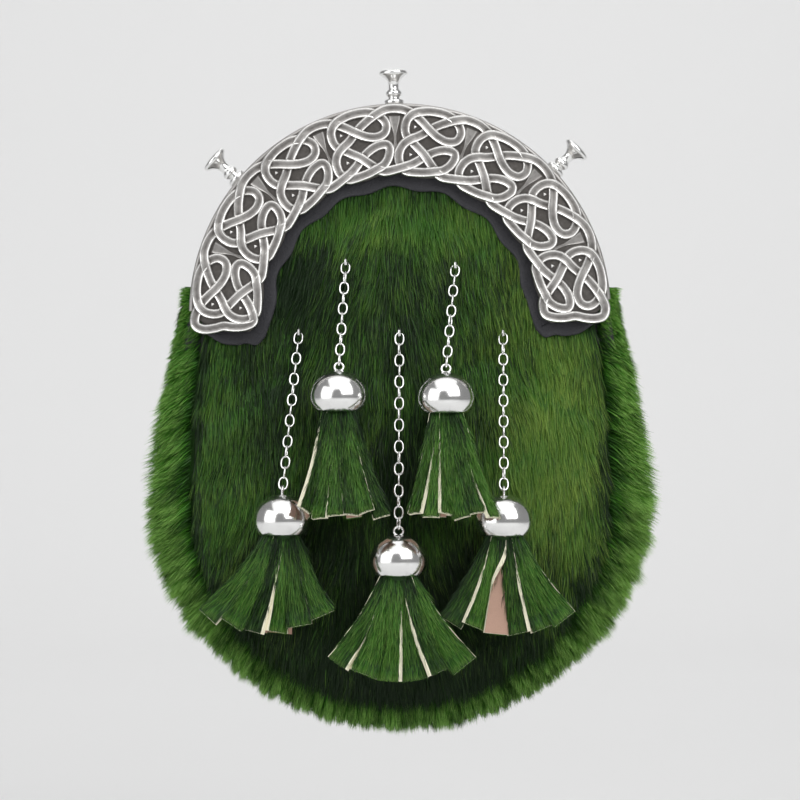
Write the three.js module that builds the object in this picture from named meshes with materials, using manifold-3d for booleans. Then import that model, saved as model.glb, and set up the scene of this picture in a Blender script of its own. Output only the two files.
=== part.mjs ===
// A dress sporran: a hollow fur pouch under an arched metal cantle with cast interlace,
// and five fur tassels that hang on chains over its front.
// Millimetres, +Z up. The front faces -Y and the belt side faces +Y. The origin is the middle
// of the belt loop's tunnel, where the strap that carries the pouch passes behind it.
import * as THREE from "three";
import { mergeVertices } from "three/addons/utils/BufferGeometryUtils.js";
import Module from "manifold-3d";

const wasm = await Module();
wasm.setup();

// Fits and walls
const GAP = 0.3; // clearance between neighbouring pieces
const LEATHER = 2; // plain leather wall
const FUR_HIDE = 3; // front panel: hide with its short combed pile

// Pouch: the front seam is an ellipse with a tall upper half and a round lower half
const POUCH = { z: -92, halfWidth: 73, rise: 190, drop: 70 };
const ARCH_Z = -30; // height of the cantle's centre
const BACK_Y = -3.3; // outer face of the back panel
const FRONT_TOP_Y = -24; // front panel's face under the cantle
const FRONT_LOW_Y = -36; // front panel's face at the bottom seam
const BELLY = { depth: 9, z: -95, top: 12, flatRadius: 38.5, spread: 26, power: 0.8 };
const LEG_Z = -43; // the cantle's legs and their leather end above this
const SEAM_ALLOWANCE = 3;
const PANEL_ROWS = [-160.5, -155, -146, -133, -116, -98, -80, -66, -55, -43, -30, -15, -1, 12.5, 27, 36];
const PANEL_COLUMNS = [-1, -0.55, 0, 0.55, 1]; // shares of the belly's half width

// Back panel: it follows the gusset, and its free upper edge is the lower lip of the mouth
const BACK = { out: 8, shoulderZ: -22, top: 27, rows: 12, columns: 2 };

// Gusset: from the front seam it swells outwards and comes in again to the back panel
const GUSSET_TOP_Z = -20;
const GUSSET_SECTION = [
  { out: 0, back: 0 },
  { out: 7, back: 0.25 },
  { out: 9.5, back: 0.65 },
  { out: 7.5, back: 1 },
];

// Gusset fur: the outer form between locks and at the tips of locks
const LOCKS = 20; // the gusset has as many lengths
const FUR_VALLEY = [
  { out: 1.2, back: -0.05 },
  { out: 10.5, back: 0.12 },
  { out: 14.2, back: 0.55 },
  { out: 10, back: 1 },
];
const FUR_TIP = [
  { out: 1.2, back: -0.1 },
  { out: 12.5, back: 0.06 },
  { out: 17.3, back: 0.5 },
  { out: 12, back: 1 },
];

// Cantle: an arch of plate with a rim that turns back over the pouch
const CANTLE = { radius: 75, plate: 2.2, lean: THREE.MathUtils.degToRad(1.6) };
const RIM = { wall: 2, back: 15, endAngle: 2.5 };
const BORDER = { thick: 1.8, radius: 72.4, show: 4.6, drop: 5 };
const INNER_EDGE = { radius: 49.6, scallop: 0.8, lowest: 0.42 };
const LEG_END = [
  // places on a leg's end, from the rim to the inner edge, with height above the arch's centre
  { radius: 71, rise: -0.5 },
  { radius: 66, rise: -3.6 },
  { radius: 60.5, rise: -4.4 },
  { radius: 57.5, rise: -3.9 },
  { radius: 53.5, rise: -4.6 },
  { radius: 50.3, rise: -1.6 },
];

// Interlace: one unit of two strands, repeated along the arch
const UNIT_ANGLE = 24;
const UNITS = 8;
const BAND = { halfWidth: 1.4, over: 1.3, under: 0.65, sink: 0.4, outer: 75.5, depth: 25.2 };
const OVER = 1;
const UNDER = -1;
// Columns: share along the unit, share from the outer to the inner edge, and level at a crossing
const STRANDS = [
  {
    name: "hook",
    points: [
      [0.19, 0.2, UNDER], [0.49, 0.41, OVER], [0.66, 0.49, 0], [0.82, 0.44, 0],
      [0.84, 0.31, 0], [0.68, 0.165, UNDER],
    ],
  },
  {
    name: "arch",
    points: [
      [0.68, 0.165, UNDER], [0.44, 0.105, 0], [0.18, 0.215, OVER], [0.11, 0.38, 0],
      [0.18, 0.55, UNDER], [0.33, 0.645, 0], [0.49, 0.75, OVER], [0.715, 0.905, UNDER],
    ],
  },
  {
    name: "sill",
    skipFirst: 3, // the first unit has no neighbour to enter from
    points: [
      [-0.285, 0.905, UNDER], [-0.15, 0.955, 0], [0.075, 0.9, OVER],
      [0.49, 0.75, UNDER], [0.7, 0.635, 0], [0.885, 0.63, 0],
    ],
  },
  {
    name: "sweep",
    skipLast: 4, // the last unit has no neighbour to run on to
    points: [
      [0.885, 0.63, 0], [0.86, 0.78, 0], [0.715, 0.905, OVER], [0.49, 0.98, 0],
      [0.22, 0.985, 0], [0.075, 0.9, UNDER], [0.04, 0.775, 0], [0.09, 0.635, 0],
      [0.18, 0.55, OVER], [0.49, 0.41, UNDER], [0.57, 0.295, 0],
      [0.68, 0.165, OVER], [0.92, 0.09, 0], [1.19, 0.2, UNDER],
    ],
  },
];

// Knobs on the rim: radius at each distance from the rim
const KNOB_ANGLES = { knob_top: 90, knob_left: 138.5, knob_right: 41.5 };
const KNOB_DEPTH = 21;
const KNOB_SIDES = 8;
const KNOB_PROFILE = [
  { radius: 3.4, reach: 0 },
  { radius: 3.4, reach: 1.4 },
  { radius: 2.1, reach: 2.4 },
  { radius: 2.8, reach: 4 },
  { radius: 1.8, reach: 5.6 },
  { radius: 2.1, reach: 8 },
  { radius: 5, reach: 10.6 },
  { radius: 4.6, reach: 11.8 },
];
const KNOB_TIP = 12.6;

// Belt loop: a strap sewn to the back above and below its tunnel
const LOOP = { width: 40, tunnelHeight: 26, tunnelDepth: 6, flange: 8, chamfer: 1.5 };

// Chains and their fittings
const LINK = { halfWidth: 1.5, halfLength: 2.25, wire: 0.36, pitch: 4, steps: 10, wireSides: 5 };
const STAPLE = { radius: 1.7, wire: 0.45, seat: 0.65, steps: 6, wireSides: 5 };
const EYE = { radius: 1.6, wire: 0.45, hang: 0.5, sunk: 1.1, steps: 8, wireSides: 5 };
const CHAIN_TUBE = { radius: 1.6, sides: 8, stand: 1.4, top: 3, bottom: 2.3 };

// Tassel caps: a domed cap, open below
const CAP = { radius: 10.1, dome: 9.5, height: 14.6, lip: 7.9, bore: 7.2, roof: 8, sides: 10, domeSteps: 3 };
const PILE = 2.5; // combed fur between the hide and a cap that rests on it

// Tassel skirts: strips of fur hide fused to a round head inside the cap
const HEAD = { radius: 6.6, height: 5, below: 2.2, sides: 10 };
const STRIP = { thick: 2, topWidth: 3, fill: 0.94, bow: 1.6 };
const FRONT_STRIPS = 6;
const BACK_STRIPS = 3;

// Columns: chain's anchor, top of the cap, hem from left to right, hem height at the middle, how far
// the hem rises at its sides, and the hem's place in depth before and behind
const TASSELS = [
  {
    name: "upper_left", anchor: [-19.3, -11.5], cap: [-21.5, -51.3], hem: [-36, -3.6],
    hemZ: -102.8, lift: 1.5, front: -64, back: -47, backHem: [-28, -9], links: true,
  },
  {
    name: "upper_right", anchor: [19.7, -12.6], cap: [16.2, -50.6], hem: [2.6, 35],
    hemZ: -103.2, lift: 1.5, front: -64, back: -47, backHem: [8, 24], links: true,
  },
  {
    name: "lower_left", anchor: [-36, -36.4], cap: [-41, -91.8], hem: [-71, -23],
    hemZ: -143, lift: 8, front: -57, back: -45, backHem: [-64, -30], links: false,
  },
  {
    name: "lower_middle", anchor: [-0.2, -36.7], cap: [-0.5, -106.7], hem: [-26, 27],
    hemZ: -159, lift: 7, front: -59, back: -47, backHem: [-18, 18], links: false,
  },
  {
    name: "lower_right", anchor: [36.7, -36.7], cap: [36.4, -92.5], hem: [13.5, 61.5],
    hemZ: -143.6, lift: 8, front: -57, back: -45, backHem: [22, 53], links: false,
  },
];

// Finishes
const ANTIQUE_SILVER = { color: 0xb9b7b2, roughness: 0.35, metalness: 1 };
const BRIGHT_CHROME = { color: 0xe4e4e2, roughness: 0.12, metalness: 1 };
const BLACK_LEATHER = { color: 0x2a292c, roughness: 0.6, metalness: 0 };
const GREEN_FUR = { color: 0x1e4a14, roughness: 0.9, metalness: 0 };
const BRIGHT_GREEN_FUR = { color: 0x2a6a1c, roughness: 0.9, metalness: 0 };

// Shape helpers
function smooth(value) {
  return THREE.MathUtils.smoothstep(value, 0, 1);
}

// Merges a geometry's shared points, and turns it right side out if its volume is negative.
function closed(geometry) {
  const bare = geometry.clone();
  bare.deleteAttribute("normal");
  bare.deleteAttribute("uv");
  const merged = mergeVertices(bare, 1e-4);
  const index = merged.index.array;
  const [a, b, c] = [new THREE.Vector3(), new THREE.Vector3(), new THREE.Vector3()];
  let volume = 0;
  for (let i = 0; i < index.length; i += 3) {
    [a, b, c].forEach((corner, k) => corner.fromBufferAttribute(merged.attributes.position, index[i + k]));
    volume += a.dot(b.cross(c));
  }
  if (volume < 0) {
    for (let i = 0; i < index.length; i += 3) {
      [index[i + 1], index[i + 2]] = [index[i + 2], index[i + 1]];
    }
  }
  return merged;
}

function solidOf(geometry) {
  const merged = closed(geometry);
  return new wasm.Manifold(
    new wasm.Mesh({
      numProp: 3,
      vertProperties: merged.attributes.position.array,
      triVerts: new Uint32Array(merged.index.array),
    }),
  );
}

function geometryOf(solid) {
  const mesh = solid.getMesh();
  return new THREE.BufferGeometry()
    .setAttribute("position", new THREE.BufferAttribute(new Float32Array(mesh.vertProperties), 3))
    .setIndex(new THREE.BufferAttribute(new Uint32Array(mesh.triVerts), 1));
}

function fused(geometries) {
  return geometryOf(geometries.map(solidOf).reduce((whole, next) => whole.add(next)));
}

// A closed body from points and quads of point numbers.
function bodyOf(points, quads, triangles = []) {
  const geometry = new THREE.BufferGeometry().setFromPoints(points);
  const corners = quads.flatMap(([a, b, c, d]) => [a, b, c, a, c, d]);
  geometry.setIndex([...corners, ...triangles.flat()]);
  return closed(geometry);
}

// The wall between two grids of points that have the same rows and columns.
function wallBetween(outer, inner) {
  const rows = outer.length;
  const columns = outer[0].length;
  const at = (side, row, column) => (side * rows + row) * columns + column;
  const quads = [];
  for (let row = 0; row < rows - 1; row += 1) {
    for (let column = 0; column < columns - 1; column += 1) {
      for (const side of [0, 1]) {
        const around = [at(side, row, column), at(side, row, column + 1)];
        around.push(at(side, row + 1, column + 1), at(side, row + 1, column));
        quads.push(side === 0 ? around : around.reverse());
      }
    }
  }
  for (let column = 0; column < columns - 1; column += 1) {
    quads.push([at(0, 0, column + 1), at(0, 0, column), at(1, 0, column), at(1, 0, column + 1)]);
    const last = rows - 1;
    quads.push([at(0, last, column), at(0, last, column + 1), at(1, last, column + 1), at(1, last, column)]);
  }
  for (let row = 0; row < rows - 1; row += 1) {
    quads.push([at(0, row, 0), at(0, row + 1, 0), at(1, row + 1, 0), at(1, row, 0)]);
    const edge = columns - 1;
    quads.push([at(0, row + 1, edge), at(0, row, edge), at(1, row, edge), at(1, row + 1, edge)]);
  }
  return bodyOf([...outer.flat(), ...inner.flat()], quads);
}

// A body through rings of points, with flat ends.
function loftedBody(rings) {
  const sides = rings[0].length;
  const quads = [];
  for (let ring = 0; ring < rings.length - 1; ring += 1) {
    for (let side = 0; side < sides; side += 1) {
      const next = (side + 1) % sides;
      quads.push([ring * sides + side, ring * sides + next]);
      quads.at(-1).push((ring + 1) * sides + next, (ring + 1) * sides + side);
    }
  }
  const ends = [];
  const last = (rings.length - 1) * sides;
  for (let side = 1; side < sides - 1; side += 1) {
    ends.push([0, side + 1, side], [last, last + side, last + side + 1]);
  }
  return bodyOf(rings.flat(), quads, ends);
}

function latheOf(profile, sides) {
  return new THREE.LatheGeometry(profile.map(([radius, height]) => new THREE.Vector2(radius, height)), sides);
}

// Pouch surfaces
function seamHalfWidth(z, out = 0) {
  const reach = z > POUCH.z ? POUCH.rise : POUCH.drop + out;
  return (POUCH.halfWidth + out) * Math.sqrt(Math.max(0, 1 - ((z - POUCH.z) / reach) ** 2));
}
const PANEL_RADIUS = seamHalfWidth(ARCH_Z);

function panelHalfWidth(z) {
  return z < ARCH_Z ? seamHalfWidth(z) : Math.sqrt(Math.max(0, PANEL_RADIUS ** 2 - (z - ARCH_Z) ** 2));
}

function seamY(z) {
  const low = POUCH.z - POUCH.drop;
  return THREE.MathUtils.lerp(FRONT_TOP_Y, FRONT_LOW_Y, smooth((LEG_Z - z) / (LEG_Z - low)));
}

// Half the width of the swelling part of the front: inside the cantle's border, then out to the seam
function bellyHalfWidth(z) {
  const rise = Math.max(z, LEG_Z) - ARCH_Z;
  const inArch = Math.sqrt(Math.max(0, BELLY.flatRadius ** 2 - rise ** 2));
  const below = smooth((LEG_Z - z) / BELLY.spread);
  return THREE.MathUtils.lerp(inArch, seamHalfWidth(z) - SEAM_ALLOWANCE, below);
}

function frontY(x, z) {
  const across = Math.max(0, 1 - (x / Math.max(bellyHalfWidth(z), 1e-6)) ** 2);
  const reach = z > BELLY.z ? BELLY.top - BELLY.z : BELLY.z - (POUCH.z - POUCH.drop);
  const along = Math.max(0, 1 - ((z - BELLY.z) / reach) ** 2);
  return seamY(z) - BELLY.depth * across * along ** BELLY.power;
}

function frontPanel() {
  const rowsOf = (inset) =>
    PANEL_ROWS.map((z) => {
      const edge = panelHalfWidth(z);
      const belly = THREE.MathUtils.clamp(bellyHalfWidth(z), 0.3 * edge, edge - SEAM_ALLOWANCE);
      const places = [-edge, ...PANEL_COLUMNS.map((share) => share * belly), edge];
      return places.map((x) => new THREE.Vector3(x, frontY(x, z) + inset, z));
    });
  return wallBetween(rowsOf(0), rowsOf(FUR_HIDE));
}

function backHalfWidth(z) {
  const shoulder = seamHalfWidth(BACK.shoulderZ, BACK.out);
  const above = (z - BACK.shoulderZ) / (BACK.top - BACK.shoulderZ);
  return above > 0 ? shoulder * Math.sqrt(Math.max(0, 1 - above ** 2)) : seamHalfWidth(z, BACK.out);
}

function backPanel() {
  const low = POUCH.z - POUCH.drop - BACK.out;
  const rowsAt = (y) =>
    Array.from({ length: BACK.rows + 1 }, (_, row) => {
      const turn = (Math.PI * (row + 0.5)) / (BACK.rows + 1);
      const z = (low + BACK.top) / 2 - ((BACK.top - low) / 2) * Math.cos(turn);
      return Array.from({ length: BACK.columns + 1 }, (__, column) => {
        const x = backHalfWidth(z) * ((2 * column) / BACK.columns - 1);
        return new THREE.Vector3(x, y, z);
      });
    });
  return wallBetween(rowsAt(BACK_Y - LEATHER), rowsAt(BACK_Y));
}

// A place on the gusset: along its length from the right leg (0) to the left leg (1)
function gussetPoint(along, { out, back }, grow = 0) {
  const top = Math.asin((GUSSET_TOP_Z - POUCH.z) / POUCH.rise);
  const turn = THREE.MathUtils.lerp(top, -Math.PI - top, along);
  const height = Math.sin(turn) > 0 ? POUCH.rise : POUCH.drop + out + grow;
  const z = POUCH.z + height * Math.sin(turn);
  const x = (POUCH.halfWidth + out + grow) * Math.cos(turn);
  const behindRim = -RIM.back + GAP;
  const behindPanel = seamY(z) + FUR_HIDE + 2 * GAP;
  const frontEdge = THREE.MathUtils.lerp(behindPanel, behindRim, smooth((z - LEG_Z + 4) / 8));
  const backEdge = BACK_Y - LEATHER - GAP;
  return new THREE.Vector3(x, THREE.MathUtils.lerp(frontEdge, backEdge, back), z);
}

function gusset() {
  const stations = (inset) =>
    Array.from({ length: LOCKS + 1 }, (_, station) =>
      GUSSET_SECTION.map((place) => gussetPoint(station / LOCKS, place, -inset)),
    );
  return wallBetween(stations(0), stations(LEATHER));
}

// Fur on the gusset: every second station is the tip of a lock.
function gussetFur() {
  const count = 2 * LOCKS;
  const stations = Array.from({ length: count + 1 }, (_, station) => station);
  const outer = stations.map((station) => {
    const form = station % 2 ? FUR_TIP : FUR_VALLEY;
    return form.map((place) => gussetPoint(station / count, place));
  });
  const rootAt = (share, place) => gussetPoint(share, place, 4 * GAP);
  const inner = stations.map((station) => {
    const [before, after] = [Math.floor(station / 2) / LOCKS, Math.ceil(station / 2) / LOCKS];
    return GUSSET_SECTION.map((place) => rootAt(before, place).lerp(rootAt(after, place), 0.5));
  });
  return wallBetween(outer, inner);
}

// Cantle: drawn flat with the arch's centre at 0,0, and +Z towards the viewer
function archPoint(angle, radius) {
  const turn = THREE.MathUtils.degToRad(angle);
  return new THREE.Vector2(radius * Math.cos(turn), radius * Math.sin(turn));
}

function innerRadius(angle) {
  const along = (90 - angle) / UNIT_ANGLE;
  return INNER_EDGE.radius - INNER_EDGE.scallop * Math.cos(2 * Math.PI * (along - INNER_EDGE.lowest));
}

// An arch with scalloped inner edge and lobed ends. Drop and show make the border larger than the plate.
function archShape(outerRadius, show, drop) {
  const end = RIM.endAngle;
  const points = [];
  const arcSteps = 26;
  for (let step = 0; step <= arcSteps; step += 1) {
    points.push(archPoint(THREE.MathUtils.lerp(end, 180 - end, step / arcSteps), outerRadius));
  }
  const legEnd = LEG_END.map(({ radius, rise }) => [Math.min(radius - show * 0.5, outerRadius), rise - drop]);
  legEnd.forEach(([x, y]) => points.push(new THREE.Vector2(-x, y)));
  const innerSteps = UNITS * 3;
  for (let step = 0; step <= innerSteps; step += 1) {
    const angle = THREE.MathUtils.lerp(178, 2, step / innerSteps);
    points.push(archPoint(angle, innerRadius(angle) - show));
  }
  legEnd.reverse().forEach(([x, y]) => points.push(new THREE.Vector2(x, y)));
  return new THREE.Shape(points);
}

function slab(shape, from, to) {
  const made = new THREE.ExtrudeGeometry(shape, { depth: to - from, bevelEnabled: false, curveSegments: 24 });
  return made.translate(0, 0, from);
}

const BORDER_BACK = -FRONT_TOP_Y + GAP;
const PLATE_BACK = BORDER_BACK + BORDER.thick + GAP;
const PLATE_FRONT = PLATE_BACK + CANTLE.plate;

function rimWall() {
  const [from, to] = [RIM.endAngle, 180 - RIM.endAngle].map(THREE.MathUtils.degToRad);
  const shape = new THREE.Shape();
  shape.absarc(0, 0, CANTLE.radius, from, to, false);
  shape.absarc(0, 0, CANTLE.radius - RIM.wall, to, from, true);
  return slab(shape, RIM.back, PLATE_BACK + GAP);
}

// A raised band with a ridge along its middle, from rows of share along, share across and level.
function raisedBand(unit, rows) {
  const points = rows.map(([along, across, level]) => {
    const angle = 90 - UNIT_ANGLE * (unit - UNITS / 2 + along);
    const place = archPoint(angle, BAND.outer - BAND.depth * across);
    return new THREE.Vector3(place.x, place.y, level);
  });
  const line = new THREE.CatmullRomCurve3(points, false, "centripetal");
  const count = points.length - 1;
  const middle = (BAND.over + BAND.under) / 2;
  const swing = (BAND.over - BAND.under) / 2;
  const rings = Array.from({ length: count + 1 }, (_, step) => {
    const at = line.getPoint(step / count);
    const along = line.getTangent(step / count).setZ(0).normalize();
    const side = new THREE.Vector3(-along.y, along.x, 0).multiplyScalar(BAND.halfWidth);
    const foot = new THREE.Vector3(at.x, at.y, PLATE_FRONT - BAND.sink);
    const ridge = new THREE.Vector3(at.x, at.y, PLATE_FRONT + middle + swing * at.z);
    return [foot.clone().add(side), ridge, foot.clone().sub(side)];
  });
  return loftedBody(rings);
}

function cantle() {
  const pieces = [slab(archShape(CANTLE.radius, 0, 0), PLATE_BACK, PLATE_FRONT), rimWall()];
  for (let unit = 0; unit < UNITS; unit += 1) {
    for (const { points, skipFirst = 0, skipLast = 0 } of STRANDS) {
      const first = unit === 0 ? skipFirst : 0;
      const last = points.length - (unit === UNITS - 1 ? skipLast : 0);
      pieces.push(raisedBand(unit, points.slice(first, last)));
    }
  }
  return fused(pieces);
}

function knob() {
  const rings = KNOB_PROFILE.map(({ radius, reach }) => [radius, reach]);
  return closed(latheOf([[0, 0], ...rings, [0, KNOB_TIP]], KNOB_SIDES));
}

// Belt loop: drawn across the strap, then run along X
function beltLoop() {
  const inner = LOOP.tunnelHeight / 2;
  const outer = inner + LEATHER;
  const foot = outer + LOOP.flange;
  const seat = -LOOP.tunnelDepth / 2;
  const roof = LOOP.tunnelDepth / 2;
  const top = roof + LEATHER;
  const half = [
    [0, roof], [inner - LOOP.chamfer, roof], [inner, roof - LOOP.chamfer], [inner, seat], [foot, seat],
    [foot, seat + LEATHER], [outer, seat + LEATHER], [outer, top - LOOP.chamfer], [outer - LOOP.chamfer, top],
    [0, top],
  ];
  const mirrored = half.map(([z, y]) => [-z, y]).reverse().slice(1, -1);
  const shape = new THREE.Shape([...half, ...mirrored].map(([z, y]) => new THREE.Vector2(z, y)));
  const run = slab(shape, -LOOP.width / 2, LOOP.width / 2);
  const up = new THREE.Vector3(0, 0, 1);
  const back = new THREE.Vector3(0, 1, 0);
  const along = new THREE.Vector3(-1, 0, 0);
  return closed(run.applyMatrix4(new THREE.Matrix4().makeBasis(up, back, along)));
}

// One oval link in the plane of the chain's line and the side direction
class LinkLine extends THREE.Curve {
  getPoint(share) {
    const turn = 2 * Math.PI * share;
    return new THREE.Vector3(LINK.halfWidth * Math.sin(turn), LINK.halfLength * Math.cos(turn), 0);
  }
}

// Places a flat ring's geometry on the chain's line, face on or turned edge on.
function onChain(geometry, centre, along, turned) {
  const side = new THREE.Vector3(1, 0, 0).addScaledVector(along, -along.x).normalize();
  const facing = new THREE.Vector3().crossVectors(side, along);
  const frame = new THREE.Matrix4();
  if (turned) frame.makeBasis(facing.clone().negate(), along, side);
  else frame.makeBasis(side, along, facing);
  return geometry.applyMatrix4(frame.setPosition(centre));
}

function link(centre, along, turned) {
  const ring = new THREE.TubeGeometry(new LinkLine(), LINK.steps, LINK.wire, LINK.wireSides, true);
  return onChain(ring, centre, along, turned);
}

// Where a tassel's parts are: its chain's line and link count, and its cap's eye
function layOut(tassel) {
  const [anchorX, anchorZ] = tassel.anchor;
  const [capX, capZ] = tassel.cap;
  const seat = new THREE.Vector3(anchorX, frontY(anchorX, anchorZ), anchorZ);
  const from = seat.clone().setY(seat.y - STAPLE.seat);
  const capY = frontY(capX, capZ - CAP.dome) - PILE - CAP.radius;
  const wanted = new THREE.Vector3(capX, capY, capZ + EYE.sunk + EYE.hang);
  const along = wanted.clone().sub(from).normalize();
  const count = Math.round((wanted.distanceTo(from) - 2 * LINK.halfLength) / LINK.pitch) + 1;
  const length = (count - 1) * LINK.pitch + 2 * LINK.halfLength;
  const to = from.clone().addScaledVector(along, length);
  const eye = to.clone().addScaledVector(along, EYE.hang);
  const capTop = eye.clone().setZ(eye.z - EYE.sunk);
  return { seat, from, along, count, to, eye, capTop };
}

function linkChain({ from, along, count }) {
  const links = [];
  for (let number = 0; number < count; number += 1) {
    const centre = from.clone().addScaledVector(along, LINK.halfLength + number * LINK.pitch);
    links.push(link(centre, along, number % 2 === 1));
  }
  return fused(links);
}

// The outer form of a chain: a plain tube along its line
function tubeChain({ from, along, to }) {
  const top = from.clone().addScaledVector(along, CHAIN_TUBE.top).setY(from.y - CHAIN_TUBE.stand);
  const bottom = to.clone().addScaledVector(along, -CHAIN_TUBE.bottom);
  const rings = [top, bottom].map((middle) =>
    Array.from({ length: CHAIN_TUBE.sides }, (_, side) => {
      const turn = (2 * Math.PI * side) / CHAIN_TUBE.sides;
      const offset = new THREE.Vector3(Math.cos(turn), Math.sin(turn), 0);
      return offset.multiplyScalar(CHAIN_TUBE.radius).add(middle);
    }),
  );
  return loftedBody(rings);
}

// A half ring of wire that stands out of the front panel. The first link hangs in it.
function staple({ seat }) {
  const rings = Array.from({ length: STAPLE.steps + 1 }, (_, step) => {
    const turn = (Math.PI * step) / STAPLE.steps;
    return Array.from({ length: STAPLE.wireSides }, (__, side) => {
      const around = (2 * Math.PI * side) / STAPLE.wireSides;
      const reach = STAPLE.radius + STAPLE.wire * Math.cos(around);
      const offset = new THREE.Vector3(STAPLE.wire * Math.sin(around), 0, 0);
      return offset.add(new THREE.Vector3(0, -reach * Math.sin(turn) - GAP, reach * Math.cos(turn))).add(seat);
    });
  });
  return loftedBody(rings);
}

function cap({ capTop, eye, along, count }) {
  const dome = Array.from({ length: CAP.domeSteps + 1 }, (_, step) => {
    const turn = (Math.PI / 2) * (step / CAP.domeSteps);
    return [CAP.radius * Math.sin(turn), -CAP.dome * (1 - Math.cos(turn))];
  });
  const under = [[CAP.lip, -CAP.height], [CAP.bore, -CAP.height], [CAP.bore, -CAP.roof - 1], [0, -CAP.roof]];
  const bell = latheOf([...dome, ...under], CAP.sides).rotateX(Math.PI / 2);
  bell.translate(capTop.x, capTop.y, capTop.z);
  const ring = new THREE.TorusGeometry(EYE.radius, EYE.wire, EYE.wireSides, EYE.steps);
  const lastLinkIsTurned = count % 2 === 0;
  return fused([bell, onChain(ring, eye, along, !lastLinkIsTurned)]);
}

// One strip of fur hide from the head to the hem
function strip(top, hem, topWidth, hemWidth, bow) {
  const rings = [0, 0.5, 1].map((share) => {
    const at = top.clone().lerp(hem, share);
    at.y += bow * Math.sin(Math.PI * share);
    const half = THREE.MathUtils.lerp(topWidth, hemWidth, share) / 2;
    const thick = STRIP.thick / 2;
    return [[-half, -thick], [half, -thick], [half, thick], [-half, thick]].map(
      ([x, y]) => new THREE.Vector3(at.x + x, at.y + y, at.z),
    );
  });
  return loftedBody(rings);
}

function skirt(tassel, { capTop }) {
  const headZ = capTop.z - CAP.height;
  const head = new THREE.CylinderGeometry(HEAD.radius, HEAD.radius, HEAD.height, HEAD.sides).rotateX(Math.PI / 2);
  head.translate(capTop.x, capTop.y, headZ + HEAD.height / 2 - HEAD.below);
  const pieces = [head];
  const layers = [
    { count: FRONT_STRIPS, hem: tassel.hem, y: tassel.front, face: -1 },
    { count: BACK_STRIPS, hem: tassel.backHem, y: tassel.back, face: 1 },
  ];
  for (const { count, hem, y, face } of layers) {
    const width = (hem[1] - hem[0]) / count;
    for (let number = 0; number < count; number += 1) {
      const share = (2 * number + 1) / count - 1;
      const spread = (HEAD.radius - STRIP.topWidth / 2) * share;
      const depth = face * (HEAD.radius - STRIP.thick) * Math.sqrt(1 - 0.6 * share ** 2);
      const top = new THREE.Vector3(capTop.x + spread, capTop.y + depth, headZ - GAP);
      const hemX = hem[0] + width * (number + 0.5);
      const end = new THREE.Vector3(hemX, y - face * 2 * share ** 2, tassel.hemZ + tassel.lift * share ** 2);
      pieces.push(strip(top, end, STRIP.topWidth, width * STRIP.fill, face * STRIP.bow));
    }
  }
  return fused(pieces);
}

// Assembly
function addMesh(group, name, geometry, finish) {
  const mesh = new THREE.Mesh(geometry, new THREE.MeshStandardMaterial(finish));
  mesh.name = name;
  group.add(mesh);
  return mesh;
}

const sporran = new THREE.Group();
addMesh(sporran, "front_panel", frontPanel(), GREEN_FUR);
addMesh(sporran, "gusset", gusset(), BLACK_LEATHER);
addMesh(sporran, "gusset_fur", gussetFur(), BRIGHT_GREEN_FUR);
addMesh(sporran, "back_panel", backPanel(), BLACK_LEATHER);
addMesh(sporran, "belt_loop", beltLoop(), BLACK_LEATHER);

const arch = new THREE.Group();
arch.position.set(0, 0, ARCH_Z);
arch.rotation.set(Math.PI / 2, 0, CANTLE.lean);
sporran.add(arch);
const borderShape = archShape(BORDER.radius, BORDER.show, BORDER.drop);
addMesh(arch, "cantle_border", closed(slab(borderShape, BORDER_BACK, BORDER_BACK + BORDER.thick)), BLACK_LEATHER);
addMesh(arch, "cantle", cantle(), ANTIQUE_SILVER);
for (const [name, angle] of Object.entries(KNOB_ANGLES)) {
  const placed = addMesh(arch, name, knob(), BRIGHT_CHROME);
  const foot = archPoint(angle, CANTLE.radius + GAP);
  placed.position.set(foot.x, foot.y, KNOB_DEPTH);
  placed.rotation.z = THREE.MathUtils.degToRad(angle - 90);
}

for (const tassel of TASSELS) {
  const laid = layOut(tassel);
  const chain = tassel.links ? linkChain(laid) : tubeChain(laid);
  addMesh(sporran, `staple_${tassel.name}`, staple(laid), BRIGHT_CHROME);
  addMesh(sporran, `chain_${tassel.name}`, chain, BRIGHT_CHROME);
  addMesh(sporran, `cap_${tassel.name}`, cap(laid), BRIGHT_CHROME);
  addMesh(sporran, `skirt_${tassel.name}`, skirt(tassel, laid), GREEN_FUR);
}

export default sporran;
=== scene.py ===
"""Dresses a dress sporran: a fur pouch, its cast cantle, and fur tassels on chains.

Shapes are worked out in millimetres in the pouch's own frame: +X to the right of the front,
-Y towards the viewer, +Z up. The origin is the middle of the belt loop's tunnel.
"""

import logging
import math
from dataclasses import dataclass, field
from enum import Enum
from typing import Any, Mapping, Optional, Sequence, Union

import bmesh
import bpy
import numpy as np
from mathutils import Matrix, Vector


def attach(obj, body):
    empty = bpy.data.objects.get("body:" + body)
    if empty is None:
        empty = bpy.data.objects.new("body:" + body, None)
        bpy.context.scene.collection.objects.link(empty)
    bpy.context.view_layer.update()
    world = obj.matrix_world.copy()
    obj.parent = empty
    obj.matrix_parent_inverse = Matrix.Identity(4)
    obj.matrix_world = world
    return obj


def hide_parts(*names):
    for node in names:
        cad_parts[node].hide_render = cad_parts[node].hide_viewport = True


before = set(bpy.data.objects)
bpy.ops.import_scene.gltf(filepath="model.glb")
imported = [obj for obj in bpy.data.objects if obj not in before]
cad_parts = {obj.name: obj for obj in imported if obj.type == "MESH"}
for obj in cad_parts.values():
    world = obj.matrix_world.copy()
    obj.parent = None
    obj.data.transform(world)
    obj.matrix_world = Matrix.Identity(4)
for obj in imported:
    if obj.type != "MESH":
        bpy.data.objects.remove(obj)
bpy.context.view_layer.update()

LOG = logging.getLogger("sporran")
ROOT = "root"
MM = 0.001
Array = np.ndarray
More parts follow.
